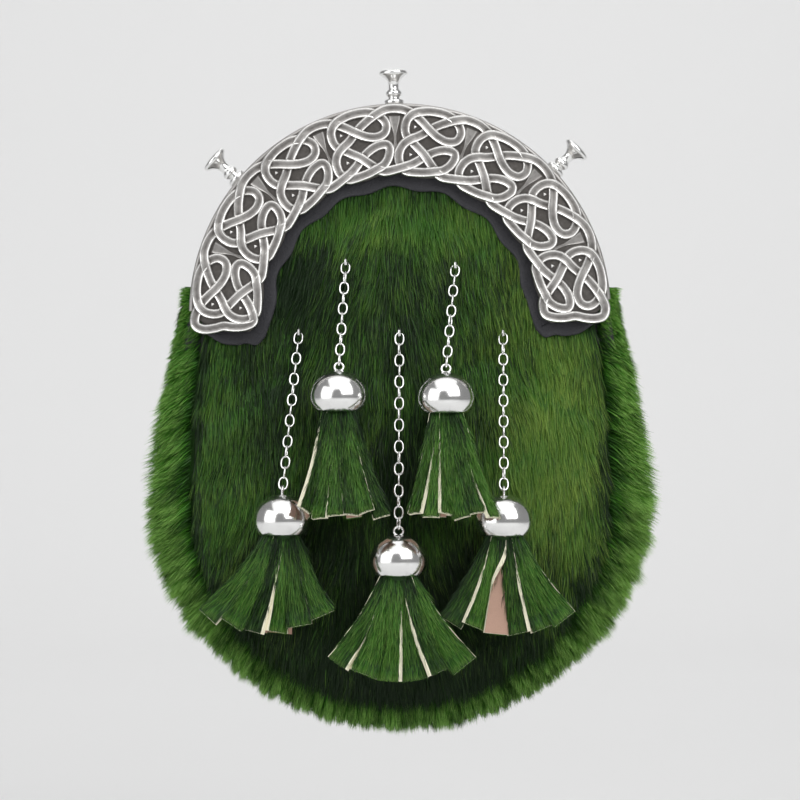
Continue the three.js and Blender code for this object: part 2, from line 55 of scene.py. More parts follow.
Colour = tuple[float, float, float]
Number = Union[float, Array]


# Arithmetic on points


def unit(vectors: Array) -> Array:
    """Scales vectors to length 1.

    Args:
        vectors: Vectors along the last axis.

    Returns:
        The unit vectors.
    """
    return vectors / np.maximum(np.linalg.norm(vectors, axis=-1, keepdims=True), 1e-9)


def smooth(value: Number) -> Number:
    """Eases a value from 0 to 1, and holds it at both ends.

    Args:
        value: The share, in any range.

    Returns:
        The eased share.
    """
    share = np.clip(value, 0.0, 1.0)
    return share * share * (3.0 - 2.0 * share)


def stack(x: Number, y: Number, z: Number) -> Array:
    """Joins three coordinates into points.

    Args:
        x: Coordinates to the right.
        y: Coordinates away from the viewer.
        z: Heights.

    Returns:
        Points along the last axis.
    """
    return np.stack(np.broadcast_arrays(x, y, z), axis=-1).astype(float)


def spline(points: Array, steps: int) -> Array:
    """Runs a smooth line through points.

    Args:
        points: Points that the line passes through.
        steps: Places on each stretch between two points.

    Returns:
        The line's points.
    """
    padded = np.concatenate([2 * points[:1] - points[1:2], points, 2 * points[-1:] - points[-2:-1]])
    share = np.linspace(0.0, 1.0, steps, endpoint=False)[:, None]
    line = []
    for before, start, end, after in zip(padded, padded[1:], padded[2:], padded[3:]):
        line.append(
            start
            + 0.5 * share * (end - before)
            + share**2 * (before - 2.5 * start + 2 * end - 0.5 * after)
            + share**3 * (1.5 * (start - end) + 0.5 * (after - before))
        )
    return np.concatenate(line + [points[-1:]])


class Ripple:
    """Smooth seeded unevenness over a plane, about -1 to 1: a sum of sine waves."""

    def __init__(self, seed: int, length: float, waves: int = 7) -> None:
        """Draws the waves.

        Args:
            seed: Seed of the draw.
            length: Typical length of a wave.
            waves: Number of waves.
        """
        draw = np.random.default_rng(seed)
        turn = draw.uniform(0.0, 2.0 * math.pi, waves)
        pace = 2.0 * math.pi / (length * draw.uniform(0.6, 1.7, waves))
        self.across = pace * np.cos(turn)
        self.along = pace * np.sin(turn)
        self.start = draw.uniform(0.0, 2.0 * math.pi, waves)

    def __call__(self, a: Number, b: Number) -> Array:
        """Reads the unevenness.

        Args:
            a: First coordinates.
            b: Second coordinates.

        Returns:
            The values at those places.
        """
        a, b = np.asarray(a, float)[..., None], np.asarray(b, float)[..., None]
        waves = np.sin(a * self.across + b * self.along + self.start)
        return waves.sum(axis=-1) / math.sqrt(len(self.start))


# Meshes


@dataclass
class Skin:
    """Triangles over points in millimetres, with a paint value of three numbers at each point."""

    points: Array
    triangles: Array
    paint: Optional[Array] = None

    @staticmethod
    def joined(skins: Sequence["Skin"]) -> "Skin":
        """Puts skins into one.

        Args:
            skins: The skins, all with paint or all without.

        Returns:
            One skin.
        """
        starts = np.cumsum([0] + [len(skin.points) for skin in skins])
        triangles = [skin.triangles + start for skin, start in zip(skins, starts)]
        paint = None if skins[0].paint is None else np.concatenate([skin.paint for skin in skins])
        return Skin(np.concatenate([skin.points for skin in skins]), np.concatenate(triangles), paint)

    def painted(self, *values: Number) -> "Skin":
        """Gives every point the same or its own paint.

        Args:
            values: Three numbers or arrays of numbers.

        Returns:
            This skin.
        """
        columns = [np.broadcast_to(np.asarray(value, float).ravel(), len(self.points)) for value in values]
        self.paint = np.stack(columns, axis=-1)
        return self


def sheet(grid: Array, ring_rows: bool = False, ring_columns: bool = False) -> Skin:
    """Spans a grid of points with triangles.

    Args:
        grid: Points in rows and columns.
        ring_rows: Whether the last row meets the first.
        ring_columns: Whether the last column meets the first.

    Returns:
        The skin.
    """
    rows, columns = grid.shape[:2]
    index = np.arange(rows * columns).reshape(rows, columns)
    if ring_rows:
        index = np.concatenate([index, index[:1]])
    if ring_columns:
        index = np.concatenate([index, index[:, :1]], axis=1)
    a, b, c, d = index[:-1, :-1], index[:-1, 1:], index[1:, 1:], index[1:, :-1]
    triangles = np.concatenate([np.stack([a, b, c], -1), np.stack([a, c, d], -1)]).reshape(-1, 3)
    return Skin(grid.reshape(-1, 3), triangles)


def turned(profile: Sequence[tuple[float, float]], sides: int) -> Skin:
    """Turns a profile about +Z.

    Args:
        profile: Radius and height of each ring.
        sides: Sides of a ring.

    Returns:
        The skin.
    """
    radius, height = np.array(profile, float).T
    turn = np.linspace(0.0, 2.0 * math.pi, sides, endpoint=False)
    grid = stack(radius[:, None] * np.cos(turn), radius[:, None] * np.sin(turn), height[:, None])
    return sheet(grid, ring_columns=True)


def tube(line: Array, radius: float, sides: int, closed: bool, up: Array) -> Skin:
    """Runs a round wire along a line that lies in a plane.

    Args:
        line: The line's points.
        radius: The wire's radius.
        sides: Sides of the wire.
        closed: Whether the line is a ring.
        up: The plane's normal.

    Returns:
        The skin.
    """
    if closed:
        along = unit(np.roll(line, -1, axis=0) - np.roll(line, 1, axis=0))
    else:
        along = unit(np.gradient(line, axis=0))
    side = unit(np.cross(along, up))
    over = np.cross(side, along)
    turn = np.linspace(0.0, 2.0 * math.pi, sides, endpoint=False)[None, :, None]
    grid = line[:, None] + radius * (np.cos(turn) * side[:, None] + np.sin(turn) * over[:, None])
    return sheet(grid, ring_rows=closed, ring_columns=True)


def mesh_object(
    name: str, skin: Skin, material: bpy.types.Material, hair: bool = False, merge: bool = True
) -> bpy.types.Object:
    """Makes a Blender object of a skin.

    Args:
        name: The object's name.
        skin: Its points and triangles.
        material: Its finish.
        hair: Whether the triangles are loose strands, which aren't merged.
        merge: Whether points at one place become one.

    Returns:
        The object, linked to the scene.
    """
    mesh = bpy.data.meshes.new(name)
    count = len(skin.triangles)
    mesh.vertices.add(len(skin.points))
    mesh.vertices.foreach_set("co", (skin.points * MM).astype(np.float32).ravel())
    mesh.loops.add(3 * count)
    mesh.loops.foreach_set("vertex_index", skin.triangles.astype(np.int32).ravel())
    mesh.polygons.add(count)
    mesh.polygons.foreach_set("loop_start", np.arange(0, 3 * count, 3, dtype=np.int32))
    mesh.update(calc_edges=True)
    if skin.paint is not None:
        paint = mesh.color_attributes.new("paint", "FLOAT_COLOR", "POINT")
        values = np.concatenate([skin.paint, np.ones((len(skin.points), 1))], axis=1)
        paint.data.foreach_set("color", values.astype(np.float32).ravel())
    if not hair:
        solid = bmesh.new()
        solid.from_mesh(mesh)
        if merge:
            bmesh.ops.remove_doubles(solid, verts=solid.verts, dist=2e-6)
            bmesh.ops.dissolve_degenerate(solid, edges=solid.edges, dist=1e-6)
        bmesh.ops.recalc_face_normals(solid, faces=solid.faces)
        solid.to_mesh(mesh)
        solid.free()
    mesh.polygons.foreach_set("use_smooth", np.ones(len(mesh.polygons), dtype=bool))
    mesh.materials.append(material)
    mesh.validate()
    made = bpy.data.objects.new(name, mesh)
    bpy.context.scene.collection.objects.link(made)
    if not hair:
        mesh.set_sharp_from_angle(angle=math.radians(50.0))
    return made


def fit(piece: bpy.types.Object, slot: str, *nodes: str) -> None:
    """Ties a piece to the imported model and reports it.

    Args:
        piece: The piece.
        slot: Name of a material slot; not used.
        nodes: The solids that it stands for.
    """
    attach(piece, ROOT)
    if nodes:
        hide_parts(*nodes)
    LOG.info("%s: %d faces", piece.name, len(piece.data.polygons))


# Shaders


class Value:
    """A shader socket that takes part in Python arithmetic."""

    def __init__(self, shader: "Shader", socket: bpy.types.NodeSocket) -> None:
        """Wraps a socket.

        Args:
            shader: The shader that holds it.
            socket: An output socket with a number.
        """
        self.shader = shader
        self.socket = socket

    def _math(self, operation: str, first: Any, second: Any) -> "Value":
        """Adds a Math node.

        Args:
            operation: The node's operation.
            first: A value or number.
            second: A value or number.

        Returns:
            The result.
        """
        made = self.shader.node("ShaderNodeMath", {"operation": operation}, {0: first, 1: second})
        return Value(self.shader, made.outputs[0])

    def __add__(self, other: Any) -> "Value":
        """Adds."""
        return self._math("ADD", self, other)

    def __radd__(self, other: Any) -> "Value":
        """Adds to a number."""
        return self._math("ADD", other, self)

    def __sub__(self, other: Any) -> "Value":
        """Subtracts."""
        return self._math("SUBTRACT", self, other)

    def __rsub__(self, other: Any) -> "Value":
        """Subtracts from a number."""
        return self._math("SUBTRACT", other, self)

    def __mul__(self, other: Any) -> "Value":
        """Multiplies."""
        return self._math("MULTIPLY", self, other)

    def __rmul__(self, other: Any) -> "Value":
        """Multiplies a number."""
        return self._math("MULTIPLY", other, self)

    def eased(self, low: float, high: float) -> "Value":
        """Eases from 0 at low to 1 at high.

        Args:
            low: The value that gives 0.
            high: The value that gives 1.

        Returns:
            The eased value.
        """
        settings = {"interpolation_type": "SMOOTHSTEP"}
        inputs = {"Value": self, "From Min": low, "From Max": high}
        made = self.shader.node("ShaderNodeMapRange", settings, inputs)
        return Value(self.shader, made.outputs[0])


class Shader:
    """One material's node tree, with a Principled surface."""

    def __init__(self, name: str) -> None:
        """Starts a material.

        Args:
            name: The material's name.
        """
        self.material = bpy.data.materials.new(name)
        self.material.use_nodes = True
        self.tree = self.material.node_tree
        self.base = self.tree.nodes["Principled BSDF"]

    def node(
        self, kind: str, settings: Mapping[str, Any], inputs: Mapping[Union[str, int], Any]
    ) -> bpy.types.Node:
        """Adds a node.

        Args:
            kind: The node's type.
            settings: Its properties, which are set first. A ramp's stops are given as "stops".
            inputs: A number, colour, socket or Value for each socket, by name or place.

        Returns:
            The node.
        """
        made = self.tree.nodes.new(kind)
        for name, setting in settings.items():
            if name == "stops":
                ramp = made.color_ramp
                while len(ramp.elements) < len(setting):
                    ramp.elements.new(0.5)
                for stop, (place, colour) in zip(ramp.elements, setting):
                    stop.position = place
                    stop.color = (*colour, 1.0)
            else:
                setattr(made, name, setting)
        for place, value in inputs.items():
            self.feed(made.inputs[place], value)
        return made

    def feed(self, socket: bpy.types.NodeSocket, value: Any) -> None:
        """Links or sets an input.

        Args:
            socket: The input.
            value: A number, colour, socket or Value.
        """
        if isinstance(value, Value):
            value = value.socket
        if isinstance(value, bpy.types.NodeSocket):
            self.tree.links.new(value, socket)
        elif isinstance(value, (tuple, list)) and len(value) == 3 and socket.type == "RGBA":
            socket.default_value = (*value, 1.0)
        else:
            socket.default_value = value

    def surface(self, **inputs: Any) -> bpy.types.Material:
        """Sets the surface's sockets.

        Args:
            inputs: Values by socket name, with _ for a space.

        Returns:
            The finished material.
        """
        for name, value in inputs.items():
            self.feed(self.base.inputs[name.replace("_", " ")], value)
        return self.material

    def paint(self) -> tuple[Value, Value, Value]:
        """Reads the mesh's paint.

        Returns:
            Its three numbers.
        """
        read = self.node("ShaderNodeAttribute", {"attribute_name": "paint"}, {})
        parts = self.node("ShaderNodeSeparateColor", {}, {0: read.outputs["Color"]})
        first, second, third = (Value(self, parts.outputs[place]) for place in range(3))
        return first, second, third

    def noise(self, scale: float, detail: float = 2.0, stretch: Colour = (1.0, 1.0, 1.0)) -> Value:
        """Adds noise in the object's own space.

        Args:
            scale: Waves to the metre.
            detail: Octaves.
            stretch: Scale along each axis.

        Returns:
            Noise from 0 to 1.
        """
        place = self.node("ShaderNodeTexCoord", {}, {}).outputs["Object"]
        scaled = self.node("ShaderNodeMapping", {}, {"Vector": place, "Scale": stretch}).outputs[0]
        made = self.node("ShaderNodeTexNoise", {}, {"Vector": scaled, "Scale": scale, "Detail": detail})
        return Value(self, made.outputs["Fac"])

    def cells(self, scale: float) -> Value:
        """Adds the distance to the nearest of many scattered points.

        Args:
            scale: Points to the metre.

        Returns:
            The distance.
        """
        place = self.node("ShaderNodeTexCoord", {}, {}).outputs["Object"]
        made = self.node("ShaderNodeTexVoronoi", {"feature": "F1"}, {"Vector": place, "Scale": scale})
        return Value(self, made.outputs["Distance"])

    def mix(self, share: Any, first: Any, second: Any, blend: str = "MIX") -> bpy.types.NodeSocket:
        """Mixes colours.

        Args:
            share: Share of the second colour.
            first: A colour or socket.
            second: A colour or socket.
            blend: The way to mix.

        Returns:
            The mixed colour.
        """
        settings = {"data_type": "RGBA", "blend_type": blend}
        return self.node("ShaderNodeMix", settings, {0: share, 6: first, 7: second}).outputs[2]

    def bump(self, height: Value, strength: float, depth: float) -> bpy.types.NodeSocket:
        """Turns a height into a normal.

        Args:
            height: The height, 0 to 1.
            strength: How strongly it shows.
            depth: Depth in metres.

        Returns:
            The normal.
        """
        made = self.node("ShaderNodeBump", {}, {"Height": height, "Strength": strength, "Distance": depth})
        return made.outputs[0]


@dataclass(frozen=True)
class FurFinish:
    """Dyed fur. A strand's paint holds its shade (painted light and shade with random variation), its share from root
    to tip, and its zone (its share of a yellowish tint, which on the front and gusset carries painted highlights).
    """

    name: str
    root: Colour
    middle: Colour
    tip: Colour
    warm_tint_and_highlight: Colour
    dark: Colour
    roughness: float = 0.5

    def material(self) -> bpy.types.Material:
        """Makes the material."""
        shader = Shader(self.name)
        shade, along, zone = shader.paint()
        colour = shader.mix(along.eased(0.0, 0.55), self.root, self.middle)
        colour = shader.mix(along.eased(0.55, 1.0), colour, self.tip)
        # The zone mixes in the yellowish colour: a random tint and, on the front and gusset, a painted highlight.
        colour = shader.mix(zone, colour, shader.mix(along.eased(0.2, 0.9), self.middle, self.warm_tint_and_highlight))
        # Low shade mixes in the dark colour: painted shade, and random darker strands.
        colour = shader.mix((1.0 - shade).eased(0.15, 1.0), colour, self.dark)
        return shader.surface(Base_Color=colour, Roughness=self.roughness, Specular_IOR_Level=0.22)


@dataclass(frozen=True)
class HideFinish:
    """Fur hide cut into strips. Its paint is 1 on a cut edge in red, and 1 on the flesh side in green."""

    name: str
    edge: Colour
    flesh: Colour
    hair: Colour

    def material(self) -> bpy.types.Material:
        """Makes the material."""
        shader = Shader(self.name)
        cut, inside, _ = shader.paint()
        nap = shader.noise(2600.0, 3.0)
        flesh = shader.mix(nap, self.flesh, tuple(0.78 * part for part in self.flesh))
        edge = shader.mix(shader.noise(900.0), self.edge, tuple(0.86 * part for part in self.edge))
        colour = shader.mix(cut, shader.mix(inside, self.hair, flesh), edge)
        return shader.surface(Base_Color=colour, Roughness=0.85, Normal=shader.bump(nap, 0.4, 0.0002))


@dataclass(frozen=True)
class LeatherFinish:
    """Black grained leather, with a painted highlight along its rounded edges (red paint) and random paler mottling.
    """

    name: str
    colour: Colour
    highlight_and_mottle_colour: Colour

    def material(self) -> bpy.types.Material:
        """Makes the material."""
        shader = Shader(self.name)
        edge_highlight, _, _ = shader.paint()
        grain = shader.cells(1100.0) * 0.7 + shader.noise(3200.0, 3.0) * 0.5
        cloud = shader.noise(60.0, 3.0)
        # Painted highlight along the edges from the red paint, with random paler mottling from the cloud noise.
        highlight_and_mottle = edge_highlight * 0.55 + cloud.eased(0.4, 0.8) * 0.25
        colour = shader.mix(highlight_and_mottle, self.colour, self.highlight_and_mottle_colour)
        normal = shader.bump(grain, 0.5, 0.0004)
        rough = 0.62 - highlight_and_mottle * 0.2
        return shader.surface(Base_Color=colour, Roughness=rough, Specular_IOR_Level=0.4, Normal=normal)


@dataclass(frozen=True)
class SilverFinish:
    """Antiqued cast silver: its paint's red is 0 in the recesses and 1 on bright edges that use has polished."""

    name: str
    recess: Colour
    face: Colour
    bright: Colour

    def material(self) -> bpy.types.Material:
        """Makes the material."""
        shader = Shader(self.name)
        height, _, _ = shader.paint()
        cast = shader.noise(700.0, 4.0)
        stain = shader.noise(120.0, 3.0)
        level = height + (cast - 0.5) * 0.22 + (stain - 0.5) * 0.16
        colour = shader.mix(level.eased(0.05, 0.5), self.recess, self.face)
        colour = shader.mix(level.eased(0.6, 0.95), colour, self.bright)
        rough = 0.5 - level.eased(0.2, 1.0) * 0.26
        normal = shader.bump(cast, 0.35, 0.00025)
        return shader.surface(Base_Color=colour, Metallic=0.85, Roughness=rough, Normal=normal)


@dataclass(frozen=True)
class ChromeFinish:
    """Bright polished metal with faint handling marks."""

    name: str
    colour: Colour
    roughness: float

    def material(self) -> bpy.types.Material:
        """Makes the material."""
        shader = Shader(self.name)
        marks = shader.noise(240.0, 5.0)
        colour = shader.mix(marks.eased(0.45, 0.8), self.colour, tuple(0.88 * part for part in self.colour))
        rough = self.roughness + marks.eased(0.45, 0.85) * 0.08
        return shader.surface(Base_Color=colour, Metallic=1.0, Roughness=rough)


@dataclass(frozen=True)
class PaperFinish:
    """The pale matt floor and backdrop."""

    name: str
    colour: Colour

    def material(self) -> bpy.types.Material:
        """Makes the material."""
        shader = Shader(self.name)
        tone = shader.noise(3.0)
        colour = shader.mix(tone, self.colour, tuple(0.985 * part for part in self.colour))
        return shader.surface(Base_Color=colour, Roughness=0.9, Specular_IOR_Level=0.1)


class Finishes:
    """The materials that the pieces share."""

    def __init__(self) -> None:
        """Makes every material once."""
        # Each fur lists root, middle and tip colours, a yellowish tint that carries painted highlights, and the dark
        # colour for painted shade and darker strands.
        self.front_fur = FurFinish(
            "front_fur", (0.009, 0.032, 0.003), (0.041, 0.14, 0.013), (0.13, 0.27, 0.036),
            (0.28, 0.4, 0.07), (0.005, 0.019, 0.003),
        ).material()
        self.gusset_fur = FurFinish(
            "gusset_fur", (0.012, 0.048, 0.004), (0.065, 0.27, 0.018), (0.33, 0.6, 0.14),
            (0.34, 0.55, 0.12), (0.011, 0.046, 0.004),
        ).material()
        self.tassel_fur = FurFinish(
            "tassel_fur", (0.01, 0.036, 0.003), (0.04, 0.15, 0.013), (0.16, 0.33, 0.06),
            (0.22, 0.37, 0.07), (0.004, 0.016, 0.003),
        ).material()
        self.tassel_hide = HideFinish(
            "tassel_hide", (0.9, 0.86, 0.66), (0.52, 0.33, 0.25), (0.012, 0.045, 0.006)
        ).material()
        self.leather = LeatherFinish("black_leather", (0.018, 0.018, 0.022), (0.06, 0.059, 0.068)).material()
        self.silver = SilverFinish(
            "antique_silver", (0.105, 0.096, 0.089), (0.46, 0.445, 0.43), (0.96, 0.95, 0.93)
        ).material()
        self.chrome = ChromeFinish("bright_chrome", (0.9, 0.9, 0.89), 0.16).material()
        self.paper = PaperFinish("pale_paper", (0.8, 0.8, 0.8)).material()


# Fur


@dataclass
class Coat:
    """Strands of fur, each a tapering ribbon that bends from its root to its tip."""

    roots: Array
    ways: Array
    bends: Array
    faces: Array
    lengths: Array
    widths: Array
    shades: Array
    zones: Array

    def skin(self, steps: int) -> Skin:
        """Makes the ribbons.

        Args:
            steps: Lengths of each ribbon.

        Returns:
            Their triangles, with shade, share along and zone as paint.
        """
        count = len(self.roots)
        rails = []
        shares = []
        for step in range(steps + 1):
            share = step / steps
            middle = self.roots + (self.ways * share + self.bends * share**2) * self.lengths[:, None]
            run = self.ways + 2.0 * share * self.bends
            side = unit(np.cross(run, self.faces)) * (0.5 * self.widths * (1.0 - 0.75 * share**1.5))[:, None]
            rails += [middle - side, middle + side] if step < steps else [middle]
            shares += [share, share] if step < steps else [share]
        points = np.stack(rails, axis=1)
        width = points.shape[1]
        pattern = []
        for step in range(steps - 1):
            a, b, c, d = 2 * step, 2 * step + 1, 2 * step + 3, 2 * step + 2
            pattern += [(a, b, c), (a, c, d)]
        pattern.append((width - 3, width - 2, width - 1))
        triangles = np.array(pattern)[None] + width * np.arange(count)[:, None, None]
        skin = Skin(points.reshape(-1, 3), triangles.reshape(-1, 3))
        along = np.tile(np.array(shares), count)
        return skin.painted(np.repeat(self.shades, width), along, np.repeat(self.zones, width))


def rolled(faces: Array, ways: Array, angle: Array) -> Array:
    """Rolls ribbons' faces about their run.

    Args:
        faces: Unit face directions.
        ways: Unit runs.
        angle: Angle of roll of each.

    Returns:
        The rolled faces.
    """
    across = unit(np.cross(ways, faces))
    return np.cos(angle)[:, None] * faces + np.sin(angle)[:, None] * across


def tufted(a: Array, b: Array, size: float, seed: float) -> tuple[Array, Array, Array]:
    """Sorts places into tufts.

    Args:
        a: First coordinates.
        b: Second coordinates.
        size: Size of a tuft.
        seed: Seed of the tufts' places.

    Returns:
        The way to each place's tuft along a and b, and a number from 0 to 1 for its tuft.
    """
    cell_a, cell_b = np.floor(a / size), np.floor(b / size)
    spread = cell_a * 12.99 + cell_b * 78.23 + seed
    chance = [np.modf(np.abs(np.sin(spread + turn) * 43758.5))[0] for turn in range(3)]
    middle_a = (cell_a + 0.25 + 0.5 * chance[0]) * size
    middle_b = (cell_b + 0.25 + 0.5 * chance[1]) * size
    return middle_a - a, middle_b - b, chance[2]


# The pouch's form


@dataclass
class PouchForm:
    """The surfaces that the pouch's pieces share."""

    middle_z: float = -92.0
    half_width: float = 73.0
    rise: float = 190.0
    drop: float = 70.0
    arch_z: float = -30.0
    back_y: float = -3.3
    leather: float = 2.0
    front_top: float = -24.0
    front_low: float = -36.0
    leg_z: float = -43.0
    belly: float = 9.0
    belly_z: float = -95.0
    belly_top: float = 12.0
    belly_radius: float = 38.5
    belly_spread: float = 26.0
    seam: float = 3.0
    gusset_top: float = -20.0
    rim_back: float = -15.0

    def seam_half_width(self, z: Number, out: Number = 0.0) -> Array:
        """Half the width between the front seams.

        Args:
            z: Heights.
            out: Distance outside the seam.

        Returns:
            The half widths.
        """
        reach = np.where(np.asarray(z) > self.middle_z, self.rise, self.drop + out)
        return (self.half_width + out) * np.sqrt(np.maximum(0.0, 1.0 - ((z - self.middle_z) / reach) ** 2))

    def panel_half_width(self, z: Number) -> Array:
        """Half the front panel's width, with its arch under the cantle.

        Args:
            z: Heights.

        Returns:
            The half widths.
        """
        radius = self.seam_half_width(self.arch_z)
        arch = np.sqrt(np.maximum(0.0, radius**2 - (z - self.arch_z) ** 2))
        return np.where(np.asarray(z) < self.arch_z, self.seam_half_width(z), arch)

    def seam_y(self, z: Number) -> Array:
        """The front seam's depth.

        Args:
            z: Heights.

        Returns:
            The depths.
        """
        share = smooth((self.leg_z - z) / (self.leg_z - (self.middle_z - self.drop)))
        return self.front_top + (self.front_low - self.front_top) * share

    def front_y(self, x: Number, z: Number) -> Array:
        """The front panel's outer face.

        Args:
            x: Places across.
            z: Heights.

        Returns:
            The depths.
        """
        up = np.maximum(z, self.leg_z) - self.arch_z
        in_arch = np.sqrt(np.maximum(0.0, self.belly_radius**2 - up**2))
        below = smooth((self.leg_z - z) / self.belly_spread)
        wide = np.maximum(in_arch + (self.seam_half_width(z) - self.seam - in_arch) * below, 1e-6)
        across = np.maximum(0.0, 1.0 - (x / wide) ** 2)
        low = self.middle_z - self.drop
        reach = np.where(np.asarray(z) > self.belly_z, self.belly_top - self.belly_z, self.belly_z - low)
        along = np.maximum(0.0, 1.0 - ((z - self.belly_z) / reach) ** 2)
        return self.seam_y(z) - self.belly * across * along**0.8

    def front_frame(self, x: Array, z: Array) -> tuple[Array, Array, Array, Array]:
        """Places on the front with their directions.

        Args:
            x: Places across.
            z: Heights.

        Returns:
            Points, outward directions, ways down the face and ways across it.
        """
        y = self.front_y(x, z)
        step = 5.0
        slope_x = (self.front_y(x + step, z) - self.front_y(x - step, z)) / (2.0 * step)
        slope_z = (self.front_y(x, z + step) - self.front_y(x, z - step)) / (2.0 * step)
        out = unit(stack(slope_x, -1.0, slope_z))
        down = unit(stack(0.0, -slope_z, -1.0))
        return stack(x, y, z), out, down, unit(stack(1.0, slope_x, 0.0))

    def gusset(self, along: Array, out: Number, back: Number) -> tuple[Array, Array, Array]:
        """Places on the gusset.

        Args:
            along: Share from the right leg round to the left.
            out: Distance outside the seam.
            back: Share of the way from the front seam to the back panel.

        Returns:
            Points, and unit ways away from the pouch's middle and along the gusset.
        """
        top = math.asin((self.gusset_top - self.middle_z) / self.rise)
        turn = top + (-math.pi - 2.0 * top) * along
        height = np.where(np.sin(turn) > 0.0, self.rise, self.drop + out)
        z = self.middle_z + height * np.sin(turn)
        x = (self.half_width + out) * np.cos(turn)
        behind_panel = self.seam_y(z) + 3.6
        edge = behind_panel + (self.rim_back + 0.3 - behind_panel) * smooth((z - self.leg_z + 4.0) / 8.0)
        last = self.back_y - self.leather - 0.3
        away = unit(stack(np.cos(turn) / (self.half_width + out), 0.0, np.sin(turn) / height))
        run = stack(away[..., 2], 0.0, -away[..., 0])
        return stack(x, edge + (last - edge) * back, z), away, run


FORM = PouchForm()


# Pouch pieces


@dataclass
class FrontPanel:
    """The domed front of short sleek fur, combed down."""

    finishes: Finishes
    strands: int = 57000
    short: float = 7.5
    long: float = 12.5
    width: float = 0.33
    # Painted light: x, z, half width, half height and amount of soft spots. An amount above 0 is a painted highlight
    # and one below 0 is a painted shadow, as under and between the tassels.
    painted_light_patches: tuple[tuple[float, float, float, float, float], ...] = (
        (0.0, 6.0, 38.0, 8.0, 0.36), (-35.0, -13.0, 14.0, 22.0, -0.32), (0.0, -25.0, 22.0, 30.0, -0.16),
        (56.0, -60.0, 15.0, 42.0, 0.36), (43.0, -88.0, 14.0, 30.0, 0.14), (-60.0, -75.0, 16.0, 30.0, 0.1),
        (-46.0, -58.0, 14.0, 28.0, -0.2), (0.0, -131.0, 66.0, 17.0, -0.34), (0.0, -163.0, 62.0, 16.0, -0.4),
        (0.0, -86.0, 9.0, 22.0, -0.34), (-30.0, -105.0, 22.0, 14.0, -0.2), (30.0, -112.0, 16.0, 12.0, -0.2),
    )
    sunk: float = 0.5

    def tone(self, x: Array, z: Array) -> Array:
        """Reads the painted light and shade over the front fur.

        Args:
            x: Places across.
            z: Heights.

        Returns:
            The shades before each strand's own.
        """
        # Painted shade darkens the fur within 6 mm of the seam, and each spot adds a painted highlight or a painted
        # shadow.
        total = 0.41 - 0.35 * smooth(1.0 - (FORM.panel_half_width(z) - np.abs(x)) / 6.0)
        for patch_x, patch_z, wide, tall, amount in self.painted_light_patches:
            depth = (1.4 if amount > 0.0 else 1.8) * amount
            total = total + depth * np.exp(-(((x - patch_x) / wide) ** 2) - ((z - patch_z) / tall) ** 2)
        return total

    def coat(self, seed: int) -> Coat:
        """Grows one layer of the fur.

        Args:
            seed: Seed of the draw.

        Returns:
            The strands.
        """
        draw = np.random.default_rng(seed)
        low = FORM.middle_z - FORM.drop
        x = draw.uniform(-FORM.half_width, FORM.half_width, 3 * self.strands)
        z = draw.uniform(low, 20.0, 3 * self.strands)
        open_to_view = (np.hypot(x, z - FORM.arch_z) < 50.0) | (z < -33.0)
        keep = (np.abs(x) < FORM.panel_half_width(z) - 0.4) & open_to_view
        x, z = x[keep][: self.strands], z[keep][: self.strands]
        count = len(x)
        place, out, down, across = FORM.front_frame(x, z)
        to_x, _, chance = tufted(x + 0.25 * z, z, 4.2, 3.0)
        lean = 0.12 * Ripple(4, 60.0)(x, z) + 0.1 * Ripple(5, 17.0)(x, z) + 0.2 * x / FORM.half_width
        lean = lean + draw.normal(0.0, 0.07, count)
        lift = np.radians(np.clip(draw.normal(15.0, 5.0, count) + 4.0 * Ripple(6, 12.0)(x, z), 4.0, 32.0))
        flat = np.cos(lean)[:, None] * down + np.sin(lean)[:, None] * across
        ways = np.cos(lift)[:, None] * flat + np.sin(lift)[:, None] * out
        length = draw.uniform(self.short, self.long, count)
        bends = -0.55 * np.sin(lift)[:, None] * out + (0.3 * to_x / length)[:, None] * across
        streak = Ripple(7, 9.0)(x, 0.22 * z)
        # Each strand's shade is the painted light and shade from tone, with random streaks, tufts and strand-to-strand
        # variation.
        shade = self.tone(x, z) + 0.1 * streak + 0.16 * (chance - 0.5) + draw.normal(0.0, 0.25, count)
        # The zone is a painted highlight over the right side, fading out at the bottom, with random variation.
        warm_tint_and_highlight = smooth((x - 5.0) / 55.0) * smooth((z + 165.0) / 60.0) * 0.45
        warm_tint_and_highlight = warm_tint_and_highlight + 0.16 * Ripple(8, 30.0)(x, z) + 0.12 * draw.normal(0.0, 1.0, count)
        return Coat(
            place - out * self.sunk, ways, bends, rolled(out, ways, draw.normal(0.0, 0.55, count)),
            length, self.width * draw.uniform(0.6, 1.25, count),
            np.clip(shade, 0.0, 1.0), np.clip(warm_tint_and_highlight, 0.0, 1.0),
        )

    def wall(self, outer: float, inner: float) -> Skin:
        """Makes a layer under the fur.

        Args:
            outer: Depth of its front below the fur.
            inner: Depth of its back.

        Returns:
            A closed wall.
        """
        low, high = FORM.middle_z - FORM.drop, FORM.arch_z + float(FORM.seam_half_width(FORM.arch_z))
        turn = np.linspace(0.03, 0.97, 72) * math.pi
        z = ((low + high) / 2.0 - (high - low) / 2.0 * np.cos(turn))[:, None]
        x = FORM.panel_half_width(z) * np.sin(np.linspace(-math.pi / 2.0, math.pi / 2.0, 48))[None]
        face = FORM.front_y(x, z)
        z = np.broadcast_to(z, x.shape)
        grid = np.concatenate([stack(x, face + outer, z), stack(x, face + inner, z)[:, ::-1]], axis=1)
        ends = [sheet(np.stack([grid[row, :48], grid[row, :47:-1]])) for row in (0, -1)]
        return Skin.joined([sheet(grid, ring_columns=True), *ends])

